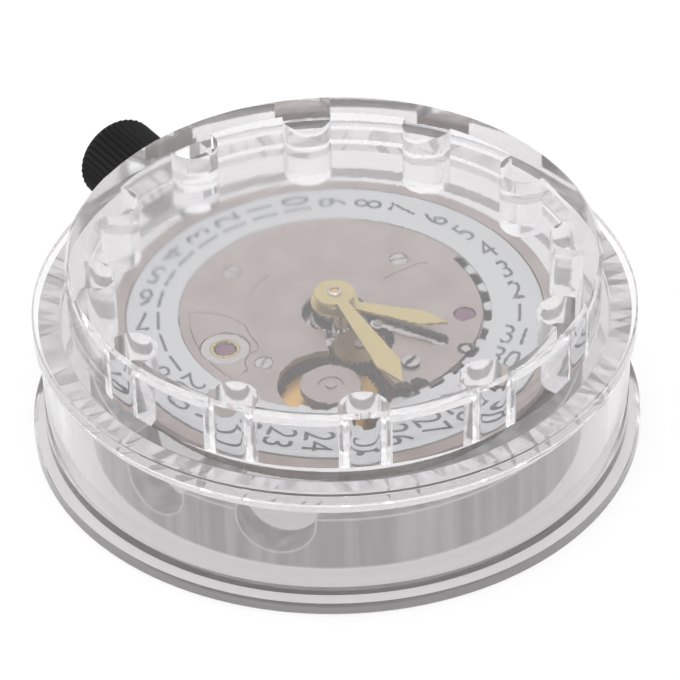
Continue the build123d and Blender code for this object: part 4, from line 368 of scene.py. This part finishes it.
def build_depth(group, given):
    """Nodes of the depth mask."""
    split = add_node(group, "ShaderNodeSeparateXYZ", {"Vector": object_place(group)})
    below = calculate(group, "SUBTRACT", given["Level"], split.outputs["Z"])
    return {"Mask": calculate(group, "DIVIDE", below, given["Depth"], clamp=True)}


def depth_mask():
    """Mask that grows to one over a depth below a level."""
    return shared_group(
        "Depth mask", {"Level": (FLOAT, 0.0), "Depth": (FLOAT, MM)}, {"Mask": FLOAT}, build_depth)


# Tones laid over a material: painted shade by depth, painted highlight and shade along edges, streaks,
# and a rougher patch

def lay_tone(material, mask, shade):
    """Lay a tone over a material's base colour where a mask is one."""
    tree = material.node_tree
    base = shader_of(material).inputs["Base Color"]
    under = base.links[0].from_socket if base.links else base.default_value
    inputs = {"Factor": mask, "A": under, "B": shade}
    mix = add_node(tree, "ShaderNodeMix", inputs, data_type="RGBA")
    tree.links.new(mix.outputs["Result"], base)


def depth_tone(material, shade, level, depth):
    """Lay a painted shade over what lies below a level."""
    inputs = {"Level": level, "Depth": depth}
    node = add_node(material.node_tree, "ShaderNodeGroup", inputs, node_tree=depth_mask())
    lay_tone(material, node.outputs["Mask"], shade)


def edge_tone(material, shade, reach):
    """Lay a tone along the edges of a piece, where a bevel bends the normal: a painted highlight when
    the tone is pale, a painted shade when it is dark.
    """
    tree = material.node_tree
    rounded = add_node(tree, "ShaderNodeBevel", {"Radius": reach})
    flat = add_node(tree, "ShaderNodeNewGeometry")
    normals = {0: rounded.outputs["Normal"], 1: flat.outputs["Normal"]}
    agree = add_node(tree, "ShaderNodeVectorMath", normals, operation="DOT_PRODUCT")
    mask = map_range(tree, agree.outputs["Value"], *EDGE_RANGE, low=1.0, high=0.0)
    lay_tone(material, mask, shade)


def streak_tone(material, shade):
    """Lay a tone in upright streaks, as the mould leaves them on a wall."""
    tree = material.node_tree
    streaks = stretched_noise(tree, STREAK_SCALE, STREAK_DETAIL)
    lay_tone(material, map_range(tree, streaks, *STREAK_RANGE), shade)


def roof_veil(material, amount, centre, reach):
    """Roughen a round patch of the lid's roof that handling has dulled."""
    tree = material.node_tree
    rough = shader_of(material).inputs["Roughness"]
    places = {0: object_place(tree), 1: centre}
    offset = add_node(tree, "ShaderNodeVectorMath", places, operation="DISTANCE")
    patch = map_range(tree, offset.outputs["Value"], reach * VEIL_FULL_SHARE, reach,
                       low=amount, high=0.0, interpolation_type="SMOOTHSTEP")
    tree.links.new(calculate(tree, "ADD", rough.links[0].from_socket, patch), rough)


# Materials

def grained_metal(name, tone, rough, grain=BRASS_GRAIN, depth=0.12, metallic=1.0, bump=0.05):
    """Metal with the blasted grain; depth is that of its broad tone, bump that of its relief."""
    material, tree, shader = new_material(name, {"Metallic": metallic})
    inputs = {"Colour": tone, "Grain per metre": grain, "Depth": depth, "Roughness": rough,
              "Spread": GRAIN_SPREAD}
    node = add_node(tree, "ShaderNodeGroup", inputs, node_tree=blasted_grain())
    tree.links.new(node.outputs["Colour"], shader.inputs["Base Color"])
    tree.links.new(node.outputs["Roughness"], shader.inputs["Roughness"])
    lay_relief(tree, shader, node.outputs["Height"], bump, GRAIN_H)
    return material


def polished_metal(name, tone, rough):
    """Smooth metal with hardly any grain."""
    return grained_metal(name, tone, rough, grain=STEEL_GRAIN, depth=0.05, bump=0.02)


def clear_plastic(name, look, tint, clearness, painted_glow_colour, haze):
    """Clear moulded plastic with a milky share; lamps shine through it as through air, and paths that
    bounce deeper than the set depth end in a painted glow.
    """
    material, tree, shader = new_material(
        name, {"Base Color": tint, "Transmission Weight": clearness, "IOR": look.ior})
    inputs = {"Roughness": haze, "Spread": WEAR_SPREAD}
    wear = add_node(tree, "ShaderNodeGroup", inputs, node_tree=moulded_wear())
    tree.links.new(wear.outputs["Roughness"], shader.inputs["Roughness"])
    lay_relief(tree, shader, wear.outputs["Height"], SCRATCH_STRENGTH, SCRATCH_H)
    path = add_node(tree, "ShaderNodeLightPath").outputs
    # Painted glow: past the set ray depth the surface emits the glow colour instead of scattering
    deep = calculate(tree, "GREATER_THAN", path["Ray Depth"], look.depth)
    painted_glow = add_node(tree, "ShaderNodeEmission", {"Color": painted_glow_colour}).outputs["Emission"]
    inner = mix_shaders(tree, deep, shader.outputs["BSDF"], painted_glow)
    through = add_node(tree, "ShaderNodeBsdfTransparent", {"Color": SHADOW_TINT}).outputs["BSDF"]
    new_surface(material, mix_shaders(tree, path["Is Shadow Ray"], inner, through))
    return material


def finish_nodes(names, material):
    """Give CAD nodes one material."""
    for name in names:
        slots = NODES[name].material_slots
        for slot in slots:
            slot.material = material
        if not slots:
            NODES[name].data.materials.append(material)


def new_piece(name, mesh, body, material):
    """Object of a mesh that rides on a body."""
    piece = bpy.data.objects.new(name, mesh)
    bpy.context.scene.collection.objects.link(piece)
    mesh.materials.clear()
    mesh.materials.append(material)
    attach(piece, body)


# Operators, one for each piece or group of like pieces

class MOVEMENT_OT_case(bpy.types.Operator):
    """Finish the tray, the holder and the lid in clear plastic"""
    bl_idname = "movement.case"
    bl_label = "Clear case"

    def execute(self, context):
        look = context.scene.movement_case
        lid = clear_plastic(
            "lid_plastic", look, look.lid_tint, look.lid_clear, look.lid_core, look.haze)
        roof_veil(lid, look.veil, (*VEIL_AT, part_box("case_lid")[1][2]), VEIL_REACH)
        finish_nodes(("case_lid",), lid)
        tray = clear_plastic(
            "tray_plastic", look, look.tray_tint, look.tray_clear, look.tray_core, look.haze)
        # Painted shade, darker towards the bottom of the tray's foot
        depth_tone(tray, look.foot_tint, FOOT_LEVEL, FOOT_DEPTH)
        finish_nodes(("case_tray",), tray)
        frosted = clear_plastic(
            "holder_plastic", look, look.holder_tint, look.holder_clear, look.tray_core,
            look.holder_haze)
        streak_tone(frosted, look.streak_tint)
        # Painted highlight laid along the holder's edges
        edge_tone(frosted, look.edge_tint, HOLDER_EDGE)
        finish_nodes(("movement_holder",), frosted)
        return {"FINISHED"}


class MOVEMENT_OT_crown(bpy.types.Operator):
    """Finish the crown in black, and the stem and keyless works in steel"""
    bl_idname = "movement.crown"
    bl_label = "Crown and stem"

    def execute(self, context):
        look = context.scene.movement_metal
        black = grained_metal(
            "crown_black", look.black, rough=0.38, grain=BLACK_GRAIN, depth=0.4, metallic=0.0,
            bump=0.1)
        shader_of(black).inputs["Specular IOR Level"].default_value = BLACK_GLOSS
        finish_nodes(("crown",), black)
        steel = grained_metal("stem_steel", look.steel, rough=0.3, grain=STEEL_GRAIN, depth=0.1)
        finish_nodes(("winding_stem", "winding_pinion", "clutch_wheel", "setting_lever", "yoke",
                      "lever_posts"), steel)
        return {"FINISHED"}


def plate_nickel(name, look):
    """Pinkish nickel of the plates."""
    return grained_metal(name, look.plate, rough=0.42, grain=NICKEL_GRAIN, depth=0.5, bump=0.06)


class MOVEMENT_OT_plates(bpy.types.Operator):
    """Finish the plates, the bridges and the rotor in pinkish nickel"""
    bl_idname = "movement.plates"
    bl_label = "Plates and bridges"

    def execute(self, context):
        look = context.scene.movement_metal
        finish_nodes(("calendar_plate", "pallet_bridge", "balance_cock", "train_bridge",
                      "barrel_bridge", "automatic_bridge", "rotor"), plate_nickel("plate_nickel", look))
        painted_hollow_shade = plate_nickel("plate_nickel_hollowed", look)
        # Painted shade in the plate's cut hollows, darker below a level, in a brown that also carries
        # the metal's own tone
        depth_tone(painted_hollow_shade, look.hollow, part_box("main_plate")[1][2] - HOLLOW_DROP, HOLLOW_DEPTH)
        finish_nodes(("main_plate",), painted_hollow_shade)
        return {"FINISHED"}


class MOVEMENT_OT_wheels(bpy.types.Operator):
    """Finish the wheels, the screws, the balance and the steel parts of the movement"""
    bl_idname = "movement.wheels"
    bl_label = "Wheels"

    def execute(self, context):
        look = context.scene.movement_metal
        brass = grained_metal("wheel_brass", look.brass, rough=0.32, depth=0.16)
        finish_nodes(("date_wheel", "minute_wheel", "barrel_drum", "barrel_cover", "centre_wheel",
                      "third_wheel", "fourth_wheel", "reverser_wheel", "reduction_wheel"), brass)
        aged = grained_metal("idler_brass", look.aged, rough=0.34, depth=0.3)
        finish_nodes(("date_idler",), aged)
        steel = grained_metal("wheel_steel", look.steel, rough=0.3, grain=STEEL_GRAIN, depth=0.14)
        finish_nodes(("barrel_arbor", "mainspring", "contrate_wheel", "click", "escape_wheel",
                      "pallet_fork", "balance_staff", "roller", "hairspring", "hairspring_stud",
                      "rotor_bearing", "rotor_race"), steel)
        finish_nodes(("hour_wheel", "cannon_pinion", "ratchet_wheel", "crown_wheel", "regulator",
                      "rotor_screw", "bridge_screws", "date_jumper"),
                     polished_metal("steel_polished", look.polished, POLISH_ROUGH))
        # Painted shade in the screws' slots and along the edges of the settings, screws and disc
        setting = polished_metal("setting_steel", look.polished, SCREW_ROUGH)
        edge_tone(setting, look.slot, SETTING_EDGE)
        finish_nodes(("shock_settings",), setting)
        for name in ("calendar_screws", "raised_screw"):
            screw = polished_metal(name + "_steel", look.polished, SCREW_ROUGH)
            depth_tone(screw, look.slot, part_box(name)[1][2] - SLOT_DROP, SLOT_DEPTH)
            edge_tone(screw, look.slot, SCREW_EDGE)
            finish_nodes((name,), screw)
        disc = grained_metal("disc_satin", look.plate, rough=0.42, grain=STEEL_GRAIN, depth=0.2)
        edge_tone(disc, look.slot, DISC_EDGE)
        finish_nodes(("date_finger_disc",), disc)
        gilt = grained_metal("balance_gilt", look.gilt, rough=0.25, depth=0.1)
        finish_nodes(("balance_wheel", "shock_springs"), gilt)
        return {"FINISHED"}


class MOVEMENT_OT_hands(bpy.types.Operator):
    """Finish the two hands in satin gilt"""
    bl_idname = "movement.hands"
    bl_label = "Hands"

    def execute(self, context):
        look = context.scene.movement_metal
        gilt = grained_metal("hand_gilt", look.gilt, rough=0.4, grain=SATIN_GRAIN, bump=0.06)
        finish_nodes(("hour_hand", "minute_hand"), gilt)
        return {"FINISHED"}


class MOVEMENT_OT_jewels(bpy.types.Operator):
    """Finish the jewels in polished ruby"""
    bl_idname = "movement.jewels"
    bl_label = "Jewels"

    def execute(self, context):
        look = context.scene.movement_metal
        inputs = {"Base Color": look.ruby, "Roughness": RUBY_ROUGH, "Coat Weight": 1.0}
        ruby = new_material("ruby_polished", inputs)[0]
        finish_nodes(("dial_jewel", "shock_jewels", "pallet_stones"), ruby)
        return {"FINISHED"}


def numeral_mesh(text, height, print_t):
    """Thin raised mesh of one date numeral, centred, reading along +X."""
    curve = bpy.data.curves.new("numeral", "FONT")
    curve.body = text
    curve.size = height / DIGIT_H_SHARE
    curve.align_x = "CENTER"
    curve.align_y = "CENTER"
    curve.space_character = DIGIT_SPACING
    curve.resolution_u = DIGIT_STEPS
    curve.extrude = print_t / 2
    holder = bpy.data.objects.new("numeral", curve)
    mesh = bpy.data.meshes.new_from_object(holder)
    bpy.data.objects.remove(holder)
    bpy.data.curves.remove(curve)
    return mesh


def numeral_place(date, look):
    """Place of a date's numeral on the ring's face."""
    angle = math.radians((date - DATE_AT_CROWN) * 360 / RING_DATES)
    top = DATE_RING_BOX[1][2]
    turn = Matrix.Rotation(angle, 4, "Z")
    shift = Matrix.Translation((look.middle_r, 0, top + look.print_t / 2))
    return turn @ shift @ Matrix.Scale(look.width, 4, (1, 0, 0))


class MOVEMENT_OT_date_ring(bpy.types.Operator):
    """Finish the date ring and print its thirty-one numerals"""
    bl_idname = "movement.date_ring"
    bl_label = "Date ring"

    def execute(self, context):
        look = context.scene.movement_ring
        lacquer = grained_metal(
            "ring_lacquer", look.lacquer, rough=0.38, grain=SATIN_GRAIN, depth=0.04, metallic=0.25,
            bump=0.03)
        finish_nodes(("date_ring",), lacquer)
        ink = new_material("numeral_ink", {"Base Color": look.ink, "Roughness": INK_ROUGH})[0]
        joined = bmesh.new()
        for date in range(1, RING_DATES + 1):
            mesh = numeral_mesh(str(date), look.height, look.print_t)
            mesh.transform(numeral_place(date, look))
            joined.from_mesh(mesh)
            bpy.data.meshes.remove(mesh)
        numerals = bpy.data.meshes.new("date_numerals")
        joined.to_mesh(numerals)
        joined.free()
        new_piece("date_numerals", numerals, "date_ring", ink)
        return {"FINISHED"}


class MOVEMENT_OT_stage(bpy.types.Operator):
    """Build the floor, the lamps, the even light and the camera"""
    bl_idname = "movement.stage"
    bl_label = "Stage"

    def execute(self, context):
        look = context.scene.movement_stage
        make_camera(look)
        make_floor(look)
        make_lamps(look)
        make_sky(look)
        context.scene.view_settings.view_transform = "Standard"
        return {"FINISHED"}


def make_camera(look):
    """Camera at the photograph's angle."""
    data = bpy.data.cameras.new("camera")
    data.lens = look.lens_mm
    data.sensor_width = SENSOR_MM
    data.clip_start = CLIP_START
    camera = bpy.data.objects.new("camera", data)
    bpy.context.scene.collection.objects.link(camera)
    azimuth, elevation = math.radians(look.azimuth), math.radians(look.elevation)
    back = Vector((math.sin(azimuth) * math.cos(elevation),
                   -math.cos(azimuth) * math.cos(elevation), math.sin(elevation)))
    camera.location = TARGET + back * look.distance
    camera.rotation_mode = "QUATERNION"
    camera.rotation_quaternion = (-back).to_track_quat("-Z", "Y") @ Quaternion(
        (0, 0, 1), -math.radians(look.roll))
    bpy.context.scene.camera = camera


def seen_ray(tree):
    """One where the camera, a gloss or a clear wall looks straight at the surface."""
    path = add_node(tree, "ShaderNodeLightPath").outputs
    seen = calculate(tree, "MAXIMUM", path["Is Camera Ray"], path["Is Glossy Ray"])
    return calculate(tree, "MAXIMUM", seen, path["Is Transmission Ray"])


def make_floor(look):
    """Pale table that keeps a soft shadow."""
    bpy.ops.mesh.primitive_plane_add(size=FLOOR_SIZE, location=(0, 0, -FLOOR_DROP))
    floor = bpy.context.object
    floor.name = "floor"
    material, tree, shader = new_material(
        "floor_pale",
        {"Base Color": look.floor, "Roughness": FLOOR_ROUGH, "Specular IOR Level": FLOOR_GLOSS})
    glow = add_node(tree, "ShaderNodeEmission", {"Color": WHITE}).outputs["Emission"]
    glow_share = calculate(tree, "MULTIPLY", seen_ray(tree), FLOOR_GLOW)
    new_surface(material, mix_shaders(tree, glow_share, shader.outputs["BSDF"], glow))
    floor.data.materials.append(material)


def make_lamps(look):
    """Large soft lamp overhead and a weaker one at the side."""
    for name, place, size, share_of_lamp in LAMPS:
        data = bpy.data.lights.new(name, "AREA")
        data.size = size
        data.energy = look.lamp * share_of_lamp
        lamp = bpy.data.objects.new(name, data)
        lamp.location = place
        lamp.rotation_euler = (-Vector(place)).to_track_quat("-Z", "Y").to_euler()
        bpy.context.scene.collection.objects.link(lamp)


def make_sky(look):
    """Even light, at full white where it is seen."""
    world = bpy.data.worlds.new("sky")
    bpy.context.scene.world = world
    world.use_nodes = True
    tree = world.node_tree
    background = tree.nodes["Background"]
    background.inputs["Color"].default_value = WHITE
    strength = map_range(tree, seen_ray(tree), start=0.0, end=1.0, low=look.sky)
    tree.links.new(strength, background.inputs["Strength"])


class MOVEMENT_PT_panel(bpy.types.Panel):
    """Sidebar list of the operators"""
    bl_idname = "MOVEMENT_PT_panel"
    bl_label = "Watch movement"
    bl_space_type = "VIEW_3D"
    bl_region_type = "UI"
    bl_category = "Movement"

    def draw(self, context):
        for operator in OPERATORS:
            self.layout.operator(operator.bl_idname)


LOOKS = (("movement_case", MovementCaseLook), ("movement_metal", MovementMetalLook),
         ("movement_ring", MovementRingLook), ("movement_stage", MovementStageLook))
OPERATORS = (MOVEMENT_OT_stage, MOVEMENT_OT_case, MOVEMENT_OT_crown, MOVEMENT_OT_plates,
             MOVEMENT_OT_wheels, MOVEMENT_OT_hands, MOVEMENT_OT_jewels, MOVEMENT_OT_date_ring)


def register():
    for name, look in LOOKS:
        bpy.utils.register_class(look)
        setattr(bpy.types.Scene, name, bpy.props.PointerProperty(type=look))
    for operator in OPERATORS:
        bpy.utils.register_class(operator)
    bpy.utils.register_class(MOVEMENT_PT_panel)


def unregister():
    bpy.utils.unregister_class(MOVEMENT_PT_panel)
    for operator in reversed(OPERATORS):
        bpy.utils.unregister_class(operator)
    for name, look in reversed(LOOKS):
        delattr(bpy.types.Scene, name)
        bpy.utils.unregister_class(look)


def main():
    register()
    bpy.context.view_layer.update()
    for operator in OPERATORS:
        family, name = operator.bl_idname.split(".")
        getattr(getattr(bpy.ops, family), name)()


if __name__ == "__main__":
    main()
